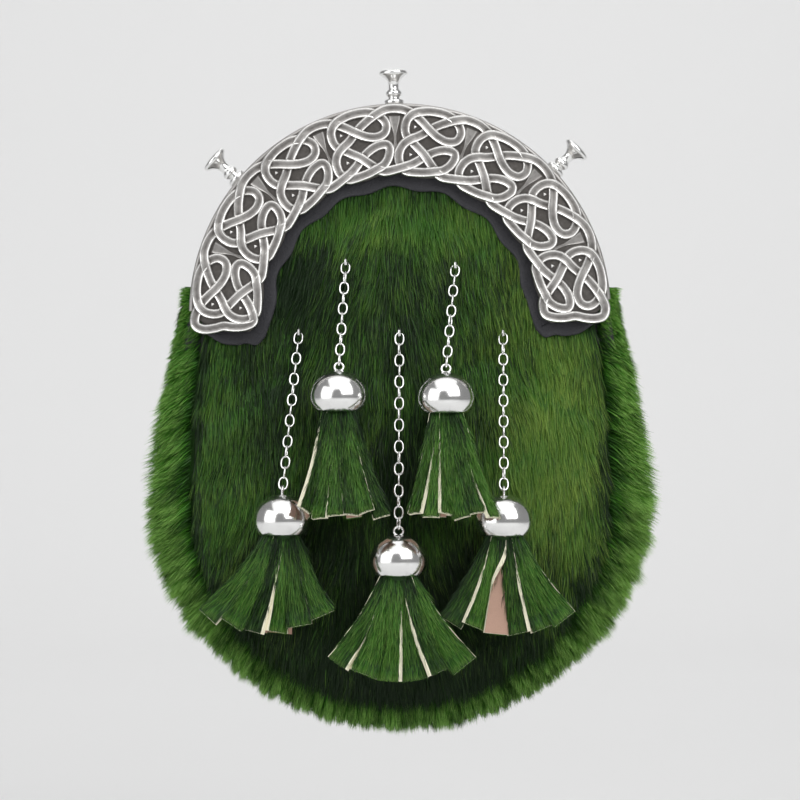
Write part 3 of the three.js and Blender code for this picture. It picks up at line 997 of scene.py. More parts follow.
    def build(self) -> None:
        """Builds the panel and its fur."""
        hide = self.wall(1.2, 2.0).painted(0.35, 0.25, 0.0)
        fit(mesh_object("front_hide", hide, self.finishes.front_fur), "front_fur", "front_panel")
        lining = self.wall(2.05, 3.0).painted(0.1, 0.0, 0.0)
        fit(mesh_object("front_lining", lining, self.finishes.leather), "black_leather")
        for name, seed in (("front_fur_under", 21), ("front_fur_over", 22)):
            fit(mesh_object(name, self.coat(seed).skin(2), self.finishes.front_fur, hair=True), "front_fur")


@dataclass
class Gusset:
    """The deeper fur round the pouch, brushed outwards and down, with pale tips."""

    finishes: Finishes
    front_strands: int = 62000
    back_strands: int = 19000
    width: float = 0.32
    section_out: tuple[float, ...] = (0.0, 7.0, 9.5, 7.5)
    section_back: tuple[float, ...] = (0.0, 0.25, 0.65, 1.0)

    def section(self, share: Array) -> tuple[Array, Array]:
        """Reads the gusset's section.

        Args:
            share: Share from the front seam to the back panel.

        Returns:
            Distance outside the seam, and share of the way back.
        """
        places = np.linspace(0.0, 1.0, 4)
        return np.interp(share, places, self.section_out), np.interp(share, places, self.section_back)

    @staticmethod
    def loft(along: Array) -> Array:
        """Reads how far the pelt stands off the leather, which is less at both ends.

        Args:
            along: Share from the right leg round to the left.

        Returns:
            The distances.
        """
        return smooth(np.minimum(along, 1.0 - along) / 0.08)

    def coat(self, count: int, first: float, last: float, seed: int) -> Coat:
        """Grows the fur on a band of the gusset.

        Args:
            count: Number of strands.
            first: Where the band starts, as a share from the front seam.
            last: Where it ends.
            seed: Seed of the draw.

        Returns:
            The strands.
        """
        draw = np.random.default_rng(seed)
        along = draw.uniform(0.0, 1.0, count)
        share = draw.uniform(first, last, count)
        out, back = self.section(share)
        place, away, run = FORM.gusset(along, out + 0.4 + self.loft(along), back)
        reach = along * 430.0
        to_tuft, _, chance = tufted(reach + 5.0 * share, share * 40.0, 5.5, 9.0)
        forward = stack(0.0, -1.0, 0.0) * (0.62 * (1.0 - 1.75 * share))[:, None]
        high = smooth((place[:, 2] + 100.0) / 80.0)
        low = smooth((-115.0 - place[:, 2]) / 50.0)
        near = np.minimum(along, 1.0 - along)
        end = smooth((0.012 - near) / 0.012)
        place[:, 1] -= 2.6 * smooth((0.16 - near) / 0.06) * (1.0 - smooth(share / 0.3))
        droop = 0.3 + 0.45 * high - 0.6 * end + 0.1 * Ripple(seed, 40.0)(reach, 30.0 * share)
        fall = stack(0.0, 0.0, -1.0) * droop[:, None]
        stray = draw.normal(0.0, 0.11, (count, 3))
        wave = (0.05 * Ripple(seed + 1, 11.0)(reach, share * 20.0))[:, None]
        ways = unit(0.92 * away + forward + fall + stray + wave * run)
        trim = 1.0 - 0.35 * high - 0.32 * low - 0.3 * smooth((0.1 - near) / 0.1)
        uneven = 1.0 + 0.12 * Ripple(seed + 2, 14.0)(reach, share * 9.0)
        length = draw.uniform(6.0, 10.5, count) * trim * uneven
        bends = stack(0.0, 0.0, -0.16) + (0.35 * to_tuft / length)[:, None] * run
        facing = unit(away + forward)
        # Shade: random variation, with painted shade next to the front seam and on the underside (low).
        shade = 0.66 + 0.16 * Ripple(seed + 3, 8.0)(reach, share * 12.0) + 0.2 * (chance - 0.5)
        shade = shade + draw.normal(0.0, 0.22, count) - 0.35 * (1.0 - smooth(share / 0.2)) - 0.2 * low
        # Zone: a random yellowish tint, with a painted highlight towards the right.
        zone = np.clip(0.1 + 0.16 * draw.normal(0.0, 1.0, count) + 0.2 * smooth(place[:, 0] / 80.0), 0.0, 1.0)
        return Coat(
            place, ways, bends, rolled(facing, ways, draw.normal(0.0, 0.6, count)), length,
            self.width * draw.uniform(0.6, 1.25, count), np.clip(shade, 0.0, 1.0), zone,
        )

    def pelt(self) -> Skin:
        """Makes the skin that the fur stands on.

        Returns:
            A closed band.
        """
        along = np.linspace(0.0, 1.0, 140)[:, None]
        share = np.linspace(0.0, 1.0, 12)[None]
        out, back = self.section(share)
        outer, _, _ = FORM.gusset(along, out + 1.2 + self.loft(along), back)
        inner, _, _ = FORM.gusset(along, out + 0.4, back)
        grid = np.concatenate([outer, inner[:, ::-1]], axis=1)
        ends = [sheet(np.stack([outer[row], inner[row]])) for row in (0, -1)]
        return Skin.joined([sheet(grid, ring_columns=True), *ends]).painted(0.3, 0.2, 0.0)

    def build(self) -> None:
        """Builds the pelt and the fur on its front and back."""
        fur = self.finishes.gusset_fur
        fit(mesh_object("gusset_pelt", self.pelt(), fur), "gusset_fur", "gusset_fur")
        front = self.coat(self.front_strands, 0.0, 0.6, 41)
        rear = self.coat(self.back_strands, 0.5, 1.0, 51)
        fit(mesh_object("gusset_fur_front", front.skin(2), fur, hair=True), "gusset_fur")
        fit(mesh_object("gusset_fur_rear", rear.skin(2), fur, hair=True), "gusset_fur")


def stitches(line: Array, out: Array, pitch: float, length: float, radius: float) -> Skin:
    """Lays a row of stitches along a line.

    Args:
        line: The line's points.
        out: The way out of the leather.
        pitch: Distance between stitches.
        length: Length of a stitch.
        radius: Half its thickness.

    Returns:
        The stitches.
    """
    walked = np.concatenate([[0.0], np.cumsum(np.linalg.norm(np.diff(line, axis=0), axis=1))])
    places = np.arange(pitch / 2.0, walked[-1], pitch)
    middle = np.stack([np.interp(places, walked, line[:, axis]) for axis in range(3)], axis=-1)
    ahead = np.stack([np.interp(places + 0.5, walked, line[:, axis]) for axis in range(3)], axis=-1)
    ways = unit(ahead - middle + 1e-9)
    made = []
    for place, way in zip(middle, ways):
        share = np.linspace(-1.0, 1.0, 7)[:, None]
        run = place + 0.5 * length * share * way + out * radius * (0.9 - 1.3 * share**4)
        made.append(tube(run, radius, 6, False, out))
    return Skin.joined(made)


@dataclass
class BackPanel:
    """The plain leather back, with a stitched edge."""

    finishes: Finishes
    out: float = 8.0
    shoulder_z: float = -22.0
    top: float = 27.0
    round_edge: float = 0.8

    def outline(self, inset: float, count: int = 160) -> tuple[Array, Array]:
        """Traces the panel's edge.

        Args:
            inset: Distance inside the edge.
            count: Number of places.

        Returns:
            Places across and heights.
        """
        turn = np.linspace(0.0, 2.0 * math.pi, count, endpoint=False)
        low = FORM.middle_z - FORM.drop - self.out + inset
        high = self.top - inset
        z = (low + high) / 2.0 - (high - low) / 2.0 * np.cos(turn)
        shoulder = float(FORM.seam_half_width(self.shoulder_z, self.out)) - inset
        above = (z - self.shoulder_z) / (high - self.shoulder_z)
        upper = shoulder * np.sqrt(np.maximum(0.0, 1.0 - above**2))
        lower = FORM.seam_half_width(z, self.out - inset)
        return np.sign(np.sin(turn)) * np.where(above > 0.0, upper, lower), z

    def build(self) -> None:
        """Builds the panel and its stitching."""
        face, inner = FORM.back_y, FORM.back_y - FORM.leather
        rings = [(40.0, face), (20.0, face), (6.0, face), (self.round_edge, face), (0.0, face - 0.7)]
        rings += [(0.0, inner + 0.7), (self.round_edge, inner), (20.0, inner), (40.0, inner)]
        grid = []
        for inset, y in rings:
            x, z = self.outline(inset)
            grid.append(stack(x, y, z))
        caps = [sheet(np.stack([ring, np.broadcast_to(ring.mean(axis=0), ring.shape)]), ring_columns=True)
                for ring in (grid[0], grid[-1])]
        # Painted highlight along the panel's rounded edge.
        edge_highlight_paint = np.repeat([0.0, 0.0, 0.1, 0.9, 1.0, 1.0, 0.9, 0.0, 0.0], 160)
        body = sheet(np.array(grid), ring_columns=True).painted(edge_highlight_paint, 0.0, 0.0)
        panel = Skin.joined([body, *(cap.painted(0.0, 0.0, 0.0) for cap in caps)])
        fit(mesh_object("back_leather", panel, self.finishes.leather), "black_leather", "back_panel")
        x, z = self.outline(3.6, 240)
        seam = stitches(stack(x, face, z), np.array([0.0, 1.0, 0.0]), 3.4, 2.5, 0.32)
        # The stitches carry 0.4 of the leather's edge paint, so they come out paler.
        fit(mesh_object("back_stitching", seam.painted(0.4, 0.0, 0.0), self.finishes.leather), "black_leather")


@dataclass
class BeltLoop:
    """The strap loop on the back: its ends are sewn down above and below the tunnel."""

    finishes: Finishes
    half_width: float = 20.0
    inner: float = 13.0
    depth: float = 3.0
    foot: float = 23.0
    thick: float = 2.0

    def build(self) -> None:
        """Builds the strap and its stitching."""
        half = np.array([
            (self.foot, -self.depth + 1.0), (self.inner + 3.6, -self.depth + 1.0), (self.inner + 1.6, -self.depth + 1.6),
            (self.inner + 1.0, 0.0), (self.inner + 0.4, self.depth - 0.4), (self.inner - 2.4, self.depth + 1.0),
            (self.inner - 6.0, self.depth + 1.0),
        ])
        line = spline(np.concatenate([half, (half * [-1.0, 1.0])[::-1]]), 8)
        path = stack(0.0, line[:, 1], line[:, 0])
        run = unit(np.gradient(path, axis=0))
        over = np.cross(run, np.array([1.0, 0.0, 0.0]))
        thick, wide = self.thick / 2.0, self.half_width
        section = [(-wide, 0.45), (-wide + 0.6, 1.0), (0.0, 1.0), (wide - 0.6, 1.0), (wide, 0.45), (wide, -0.45)]
        section += [(wide - 0.6, -1.0), (0.0, -1.0), (-wide + 0.6, -1.0), (-wide, -0.45)]
        across = np.array([1.0, 0.0, 0.0])
        grid = np.stack([path + x * across + up * thick * over for x, up in section], axis=1)
        body = sheet(grid, ring_columns=True)
        ends = [sheet(np.stack([grid[row, :5], grid[row, :4:-1]])) for row in (0, -1)]
        # Painted highlight along the strap's rounded edges and on its cut ends.
        edge_highlight_paint = np.tile([1.0, 0.8, 0.0, 0.8, 1.0, 1.0, 0.8, 0.0, 0.8, 1.0], len(path))
        skin = Skin.joined([body.painted(edge_highlight_paint, 0.0, 0.0), *(end.painted(0.8, 0.0, 0.0) for end in ends)])
        fit(mesh_object("loop_leather", skin, self.finishes.leather), "black_leather", "belt_loop")
        rows = []
        for side in (-1.0, 1.0):
            for height in (self.foot - 2.2, self.inner + 4.4):
                seam = stack(np.linspace(-wide + 2.5, wide - 2.5, 40), -self.depth + self.thick, side * height)
                rows.append(stitches(seam, np.array([0.0, 1.0, 0.0]), 3.4, 2.5, 0.32))
        # The stitches carry 0.4 of the leather's edge paint, so they come out paler.
        sewn = Skin.joined(rows).painted(0.4, 0.0, 0.0)
        fit(mesh_object("loop_stitching", sewn, self.finishes.leather), "black_leather")


# Cantle


class Level(Enum):
    """How high a band runs at a crossing."""

    OVER = 1.0
    PLAIN = 0.0
    UNDER = -1.0


OVER, PLAIN, UNDER = Level.OVER, Level.PLAIN, Level.UNDER
Knot = tuple[tuple[float, float, Level], ...]

# Share along a unit of the interlace, share from the arch's inner edge to its outer edge, and level
UPPER_STRAND: Knot = (
    (0.08, 0.9, PLAIN), (0.22, 0.845, UNDER), (0.36, 0.735, PLAIN), (0.47, 0.635, OVER), (0.6, 0.555, PLAIN),
    (0.74, 0.525, PLAIN), (0.86, 0.575, PLAIN), (0.885, 0.7, PLAIN), (0.8, 0.82, UNDER), (0.66, 0.89, PLAIN),
    (0.48, 0.9, PLAIN), (0.33, 0.875, PLAIN), (0.23, 0.83, OVER), (0.165, 0.75, PLAIN), (0.14, 0.64, PLAIN),
    (0.155, 0.54, PLAIN), (0.21, 0.475, UNDER), (0.3, 0.395, PLAIN), (0.44, 0.285, OVER), (0.57, 0.17, PLAIN),
    (0.67, 0.09, UNDER), (0.75, 0.045, PLAIN), (0.86, 0.03, PLAIN),
)
LOWER_STRAND: Knot = (
    (0.14, 0.085, OVER), (0.28, 0.135, PLAIN), (0.38, 0.195, PLAIN), (0.475, 0.265, UNDER), (0.6, 0.345, PLAIN),
    (0.74, 0.4, PLAIN), (0.865, 0.405, PLAIN), (0.915, 0.34, PLAIN), (0.885, 0.22, PLAIN), (0.8, 0.125, PLAIN),
    (0.67, 0.075, OVER), (0.5, 0.035, PLAIN), (0.3, 0.02, PLAIN), (0.18, 0.03, PLAIN), (0.1, 0.085, UNDER),
    (0.055, 0.18, PLAIN), (0.065, 0.3, PLAIN), (0.125, 0.405, PLAIN), (0.22, 0.475, OVER), (0.34, 0.535, PLAIN),
    (0.46, 0.63, UNDER), (0.56, 0.71, PLAIN), (0.68, 0.79, PLAIN), (0.8, 0.86, OVER), (0.92, 0.905, PLAIN),
)
LEFT_END: Knot = (
    (-0.01, 0.88, PLAIN), (-0.055, 0.77, PLAIN), (-0.05, 0.62, PLAIN), (-0.03, 0.5, PLAIN), (-0.055, 0.36, PLAIN),
    (-0.055, 0.2, PLAIN), (0.01, 0.08, PLAIN),
)
RIGHT_END: Knot = (
    (1.02, 0.87, PLAIN), (1.055, 0.76, PLAIN), (1.05, 0.62, PLAIN), (1.025, 0.48, PLAIN), (1.05, 0.34, PLAIN),
    (1.05, 0.18, PLAIN), (1.0, 0.06, PLAIN),
)
PELLETS: tuple[tuple[float, float], ...] = ((0.27, 0.655), (0.235, 0.26))


@dataclass
class Cantle:
    """The cast arch with its interlace and rim, the leather under it, and the knobs on its rim."""

    finishes: Finishes
    radius: float = 75.0
    lean: float = math.radians(1.6)
    plate_back: float = 26.4
    plate_front: float = 28.6
    rim_back: float = 15.0
    end_angle: float = 2.5
    inner_radius: float = 49.6
    scallop: float = 0.8
    lowest: float = 0.42
    units: int = 8
    unit_angle: float = 22.9
    band: float = 1.8
    band_inner: float = 50.2
    band_outer: float = 75.4
    knob_angles: tuple[float, ...] = (90.0, 138.5, 41.5)
    knob_depth: float = 21.0
    leg_end: tuple[tuple[float, float], ...] = (
        (75.0, 3.3), (71.0, -0.5), (66.0, -3.6), (60.5, -4.4), (57.5, -3.9), (53.5, -4.6), (50.3, -1.6), (44.0, 1.6),
    )
    knob_profile: tuple[tuple[float, float], ...] = (
        (0.0, 0.0), (3.3, 0.0), (3.45, 0.35), (3.45, 1.1), (3.1, 1.5), (2.2, 1.9), (2.0, 2.3), (2.5, 2.8), (2.8, 3.4),
        (2.8, 4.0), (2.5, 4.6), (1.9, 5.1), (1.75, 5.8), (1.8, 6.8), (2.1, 8.0), (3.0, 9.1), (4.3, 10.0), (4.95, 10.5),
        (5.05, 11.0), (4.95, 11.5), (4.5, 11.9), (3.2, 12.25), (1.6, 12.5), (0.0, 12.58),
    )

    def placed(self, points: Array) -> Array:
        """Sets flat arch places on the pouch.

        Args:
            points: Places across, up and towards the viewer from the arch's centre.

        Returns:
            Points in the pouch's frame.
        """
        x, y, z = np.moveaxis(points, -1, 0)
        across = math.cos(self.lean) * x - math.sin(self.lean) * y
        up = math.sin(self.lean) * x + math.cos(self.lean) * y
        return stack(across, -z, FORM.arch_z + up)

    def ground(self, outer: float, show: float, drop: float, rings: Sequence[tuple[float, float]]) -> Skin:
        """Makes an arch of sheet with a scalloped inner edge and lobed ends.

        Args:
            outer: The outer radius.
            show: How much further the sheet reaches inside the plate's edge.
            drop: How much further it reaches below the legs.
            rings: Inset and height of each ring of the section, from the front's middle round the edge.

        Returns:
            The skin.
        """
        edge_angle = math.degrees(math.asin(1.6 / 49.0))
        theta = np.linspace(180.0 - edge_angle, edge_angle, 320)
        wave = np.cos(2.0 * math.pi * ((90.0 - theta) / self.unit_angle - self.lowest))
        turn = np.radians(theta)
        inside = self.inner_radius - self.scallop * wave - show
        arc = np.radians(np.linspace(self.end_angle, 180.0 - self.end_angle, 320))
        leg = np.array([(min(r - 0.5 * show, outer), up - drop) for r, up in self.leg_end[1:-1]])
        leg = spline(leg, 6)
        outline = np.concatenate([
            np.stack([outer * np.cos(arc), outer * np.sin(arc)], -1),
            leg * [-1.0, 1.0],
            np.stack([inside * np.cos(turn), inside * np.sin(turn)], -1),
            leg[::-1],
        ])
        tangent = unit(np.roll(outline, -1, axis=0) - np.roll(outline, 1, axis=0))
        inward = np.stack([-tangent[:, 1], tangent[:, 0]], -1)
        grid = np.array([
            np.concatenate([outline + inset * inward, np.full((len(outline), 1), height)], -1)
            for inset, height in rings
        ])
        skin = sheet(grid, ring_columns=True)
        arcs, lobes = len(arc), len(leg)
        faces = [skin.triangles]
        for start in (0, (len(grid) - 1) * len(outline)):
            index = start + np.arange(len(outline))
            over, under = index[:arcs], index[arcs + lobes : 2 * arcs + lobes][::-1]
            faces.append(np.stack([over[:-1], over[1:], under[1:]], -1))
            faces.append(np.stack([over[:-1], under[1:], under[:-1]], -1))
            left = np.array([*index[arcs : arcs + lobes], under[-1]])
            right = np.array([*index[2 * arcs + lobes :][::-1], under[0]])
            for corner, foot in ((over[-1], left), (over[0], right)):
                faces.append(np.stack([np.full(len(foot) - 1, corner), foot[:-1], foot[1:]], -1))
        return Skin(skin.points, np.concatenate(faces))

    def band_line(self, unit_number: int, knot: Knot) -> Array:
        """Lays part of a strand on the arch.

        Args:
            unit_number: The unit that it starts in.
            knot: Its places and levels.

        Returns:
            Places across, up and level.
        """
        rows = []
        for along, across, level in knot:
            angle = math.radians(90.0 - self.unit_angle * (unit_number - self.units / 2.0 + along))
            reach = self.band_inner + (self.band_outer - self.band_inner) * across
            rows.append((reach * math.cos(angle), reach * math.sin(angle), level.value))
        return np.array(rows)

    def strands(self) -> Array:
        """Follows the two strands from unit to unit along the arch.

        Returns:
            The one closed line that they make.
        """
        there, back = [], []
        for number in range(self.units):
            pair = (UPPER_STRAND, LOWER_STRAND) if number % 2 == 0 else (LOWER_STRAND, UPPER_STRAND)
            there.append(self.band_line(number, pair[0]))
            back.append(self.band_line(number, pair[1]))
        left = self.band_line(0, LEFT_END)
        right = self.band_line(self.units - 1, RIGHT_END)
        first_line, second_line = np.concatenate(there), np.concatenate(back)
        line = np.concatenate([first_line, self._facing(right, first_line[-1]), second_line[::-1]])
        return np.concatenate([line, self._facing(left, line[-1])])

    @staticmethod
    def _facing(line: Array, start: Array) -> Array:
        """Turns a line so that it starts at its end nearer a place.

        Args:
            line: The line.
            start: The place.

        Returns:
            The line or its reverse.
        """
        near = np.linalg.norm(line[0, :2] - start[:2]) <= np.linalg.norm(line[-1, :2] - start[:2])
        return line if near else line[::-1]

    def band_skin(self, knot_line: Array) -> Skin:
        """Raises a grooved band along a closed line.

        Args:
            knot_line: Places across, up and level.

        Returns:
            The band, painted by height.
        """
        looped = np.concatenate([knot_line[-2:], knot_line, knot_line[:3]])
        line = spline(looped, 7)[14:-14]
        run = unit(np.gradient(line[:, :2], axis=0))
        side = np.stack([-run[:, 1], run[:, 0]], -1)
        level = np.clip(line[:, 2], -1.0, 1.0)
        lift = self.plate_front + 0.28 + 0.42 * level
        half = [
            (-1.0, -1.3, 0.0), (-0.98, 0.3, 0.2), (-0.91, 0.68, 0.75), (-0.77, 0.9, 1.0), (-0.62, 0.8, 0.85),
            (-0.46, 0.5, 0.34), (-0.2, 0.4, 0.26),
        ]
        section = [*half, (0.0, 0.38, 0.24), *((-offset, height, tone) for offset, height, tone in half[::-1])]
        columns = []
        for offset, height, _ in section:
            flat = line[:, :2] + offset * self.band * side
            columns.append(np.concatenate([flat, (lift + height)[:, None]], -1))
        skin = sheet(np.stack(columns, axis=1))
        tone = np.array([row[2] for row in section])[None] + 0.1 * level[:, None]
        skin.points = self.placed(skin.points)
        return skin.painted(np.clip(tone, 0.0, 1.0), 0.0, 0.0)

    def webs(self) -> Skin:
        """Raises the waisted web between units and the small pellets in their loops.

        Returns:
            The webs and pellets.
        """
        made = []
        for number in range(1, self.units):
            across = np.linspace(-1.0, 1.0, 9)[None]
            up = np.linspace(0.26, 0.8, 15)[:, None]
            half = 0.55 + 2.0 * smooth((up - 0.5) / 0.32) + 0.75 * smooth((0.45 - up) / 0.2)
            reach = self.band_inner + (self.band_outer - self.band_inner) * up
            middle = math.radians(90.0 - self.unit_angle * (number - self.units / 2.0))
            angle = middle - across * half / reach
            far, foot = np.abs(across), np.abs(across) > 0.99
            height = self.plate_front + 0.1 + 0.5 * smooth(far * 4.0 - 2.6) - 0.9 * foot
            web = sheet(stack(reach * np.cos(angle), reach * np.sin(angle), height))
            tone = 0.32 + 0.6 * smooth(far * 4.0 - 2.4) * ~foot
            web.points = self.placed(web.points)
            made.append(web.painted(np.broadcast_to(tone, angle.shape), 0.0, 0.0))
        for number in range(self.units):
            for along, across in PELLETS:
                x, y, _ = self.band_line(number, ((along, across, PLAIN),))[0]
                bead = turned([(1.05, -0.5), (0.95, 0.2), (0.55, 0.62), (0.0, 0.75)], 3)
                bead.points = self.placed(bead.points + [x, y, self.plate_front])
                made.append(bead.painted(np.repeat([0.2, 0.5, 0.9, 1.0], 3), 0.0, 0.0))
        return Skin.joined(made)

    def build(self) -> None:
        """Builds the arch's pieces."""
        front, back = self.plate_front, self.plate_back
        edge = [(0.5, front), (0.1, front - 0.15), (0.0, front - 0.6), (0.0, back)]
        plate = self.ground(self.radius - 0.6, 0.0, 0.0, edge)
        plate.points = self.placed(plate.points)
        pieces = [plate.painted(0.1, 0.0, 0.0)]
        arc = np.radians(np.linspace(self.end_angle, 180.0 - self.end_angle, 200))[None]
        outer, middle = self.radius, self.radius - 1.0
        rim = np.array([
            (outer - 2.0, back), (outer - 2.0, self.rim_back + 0.4), (outer - 1.6, self.rim_back),
            (outer - 0.4, self.rim_back), (outer, self.rim_back + 0.4), (outer, front - 0.8),
            (outer - 0.35, front - 0.1), (outer - 0.9, front + 0.1), (outer - 1.5, front - 0.2),
        ])
        reach, height = rim[:, :1], rim[:, 1:]
        wall = sheet(stack(reach * np.cos(arc), reach * np.sin(arc), height), ring_rows=True)
        ends = []
        for turn in (arc[0, 0], arc[0, -1]):
            section = stack(reach[:, 0] * math.cos(turn), reach[:, 0] * math.sin(turn), height[:, 0])
            core = np.array([middle * math.cos(turn), middle * math.sin(turn), self.knob_depth])
            fan = np.stack([section, np.broadcast_to(core, section.shape)])
            ends.append(sheet(fan, ring_columns=True))
        for part in (wall, *ends):
            part.points = self.placed(part.points)
        tone = np.broadcast_to(np.array([0.2, 0.3, 0.4, 0.5, 0.55, 0.5, 0.6, 0.45, 0.15])[:, None], (9, 200))
        pieces += [wall.painted(tone, 0.0, 0.0), *(end.painted(0.4, 0.0, 0.0) for end in ends)]
        pieces += [self.band_skin(self.strands()), self.webs()]
        fit(mesh_object("cantle_casting", Skin.joined(pieces), self.finishes.silver), "antique_silver", "cantle")
        low, high = 24.3, 26.1
        rings = [(2.2, high), (1.0, high - 0.05), (0.35, high - 0.3), (0.0, high - 0.8)]
        rings += [(0.0, low + 0.4), (0.5, low)]
        border = self.ground(72.4, 4.6, 5.0, rings)
        count = len(border.points) // len(rings)
        border.points = self.placed(border.points)
        # Painted highlight round the border's rounded edge.
        border.painted(np.repeat([0.1, 0.35, 0.9, 1.0, 0.8, 0.4], count), 0.0, 0.0)
        fit(mesh_object("border_leather", border, self.finishes.leather), "black_leather", "cantle_border")
        for name, angle in zip(("knob_top", "knob_left", "knob_right"), self.knob_angles):
            knob = turned(self.knob_profile, 40)
            x, y, z = np.moveaxis(knob.points, -1, 0)
            turn = math.radians(angle)
            reach = self.radius + 0.3 + z
            across = reach * math.cos(turn) - x * math.sin(turn)
            up = reach * math.sin(turn) + x * math.cos(turn)
            knob.points = self.placed(stack(across, up, self.knob_depth + y))
            fit(mesh_object(f"{name}_turned", knob, self.finishes.chrome), "bright_chrome", name)


# Tassels

Strip = tuple[Array, Array, Array, Array, bool]


@dataclass
class Tassel:
    """A chain with a domed cap and a fan of fur strips."""

    finishes: Finishes
    name: str
    anchor: tuple[float, float]
    cap: tuple[float, float]
    hem: tuple[float, float]
    hem_z: float
    lift: float
    front: float
    back: float
    back_hem: tuple[float, float]
    rolls: tuple[float, ...]
    seed: int
    hairs: int = 11000
    link_half_width: float = 1.5
    link_half_length: float = 2.25
    wire: float = 0.36
    pitch: float = 4.0
    cap_radius: float = 10.1
    dome: float = 9.5
    cap_height: float = 14.6
    hide: float = 1.5
    start: Array = field(init=False)
    along: Array = field(init=False)
    links: int = field(init=False)
    eye: Array = field(init=False)
    cap_top: Array = field(init=False)

    def __post_init__(self) -> None:
        """Works out where the chain and the cap are."""
        x, z = self.anchor
        self.start = np.array([x, float(FORM.front_y(x, z)) - 0.65, z])
        cap_x, cap_z = self.cap
        depth = float(FORM.front_y(cap_x, cap_z - self.dome)) - 2.5 - self.cap_radius
        wanted = np.array([cap_x, depth, cap_z + 1.6])
        reach = float(np.linalg.norm(wanted - self.start))
        self.along = (wanted - self.start) / reach
        self.links = round((reach - 2.0 * self.link_half_length) / self.pitch) + 1
        end = self.start + self.along * ((self.links - 1) * self.pitch + 2.0 * self.link_half_length)
        self.eye = end + 0.5 * self.along
        self.cap_top = self.eye - np.array([0.0, 0.0, 1.1])

    def frame(self, turned_link: bool) -> tuple[Array, Array]:
        """Finds the directions of a link.

        Args:
            turned_link: Whether the link stands edge on.

        Returns:
            The way across the link, and its plane's normal.
        """
        side = unit(np.array([1.0, 0.0, 0.0]) - self.along[0] * self.along)
        facing = np.cross(side, self.along)
        return (facing, side) if turned_link else (side, facing)

    def chain(self) -> Skin:
        """Makes the chain's links.

        Returns:
            The links.
        """
        draw = np.random.default_rng(self.seed)
        turn = np.linspace(0.0, 2.0 * math.pi, 26, endpoint=False)[:, None]
        made = []
        for number in range(self.links):
            across, normal = self.frame(number % 2 == 1)
            swing = draw.normal(0.0, 0.12)
            across, normal = (
                math.cos(swing) * across + math.sin(swing) * normal,
                math.cos(swing) * normal - math.sin(swing) * across,
            )
            middle = self.start + self.along * (self.link_half_length + number * self.pitch)
            squared = np.sign(np.cos(turn)) * np.abs(np.cos(turn)) ** 0.8
            line = middle + self.link_half_width * np.sin(turn) * across
            line = line + self.link_half_length * squared * self.along
            made.append(tube(line, self.wire, 8, True, normal))
        return Skin.joined(made)

    def cap_skin(self) -> Skin:
        """Makes the domed cap and the eye on it.

        Returns:
            The skin.
        """
        turn = np.linspace(0.0, math.pi / 2.0, 16)
        dome = list(zip(self.cap_radius * np.sin(turn), -self.dome * (1.0 - np.cos(turn))))
        under = [(10.0, -10.6), (9.7, -11.8), (9.15, -13.0), (8.5, -14.0), (8.1, -14.5), (7.8, -14.6), (7.4, -14.5)]
        inside = [(7.2, -14.0), (7.2, -9.5), (6.0, -8.6), (0.0, -8.2)]
        bell = turned([*dome, *under, *inside], 64)
        bell.points = bell.points + self.cap_top
        across, normal = self.frame(self.links % 2 == 1)
        around = np.linspace(0.0, 2.0 * math.pi, 24, endpoint=False)[:, None]
        ring = self.eye + 1.6 * (np.sin(around) * across + np.cos(around) * self.along)
        return Skin.joined([bell, tube(ring, 0.45, 8, True, normal)])

    def strips(self) -> list["Strip"]:
        """Lays out the strips of the skirt.

        Returns:
            For each strip its middle line, the way across it, the way out of its fur side, its half width,
            and whether its cut edges are bare.
        """
        draw = np.random.default_rng(self.seed + 1)
        mouth = self.cap_top[2] - self.cap_height
        made = []
        layers = ((len(self.rolls), self.hem, self.front, -1.0), (4, self.back_hem, self.back, 1.0))
        for count, hem, depth, face in layers:
            width = (hem[1] - hem[0]) / count
            for number in range(count):
                share = (2 * number + 1) / count - 1.0
                around = face * 4.4 * math.sqrt(1.0 - 0.6 * share**2)
                top = self.cap_top + np.array([4.8 * share, around, 0.0])
                top[2] = mouth + 2.0
                end = np.array([
                    hem[0] + width * (number + 0.5), depth - face * 2.0 * share**2 + draw.normal(0.0, 0.5),
                    self.hem_z + self.lift * share**2 + 1.6 + draw.normal(0.0, 0.7),
                ])
                along = np.linspace(0.0, 1.0, 14)[:, None]
                line = top + (end - top) * along + np.array([0.0, face * 1.6, 0.0]) * np.sin(math.pi * along)
                line[:, 0] -= 0.12 * (end[0] - top[0]) * np.sin(math.pi * along[:, 0])
                line[:, 1] += face * 1.6 * smooth((along[:, 0] - 0.8) / 0.2)
                roll = math.radians(self.rolls[number] if face < 0.0 else 8.0 * share)
                turn = roll * smooth(along * 1.6)
                run = unit(np.gradient(line, axis=0))
                side = unit(np.array([1.0, 0.0, 0.0]) - run * run[:, :1])
                out = np.cross(side, run) * (-1.0 if face < 0.0 else 1.0)
                across = np.cos(turn) * side + np.sin(turn) * out
                outward = np.cos(turn) * out - np.sin(turn) * side
                half = (1.5 + (0.56 * width - 1.5) * along**0.9)[:, 0]
                made.append((line, across, outward, half, abs(roll) > 0.5))
        return made

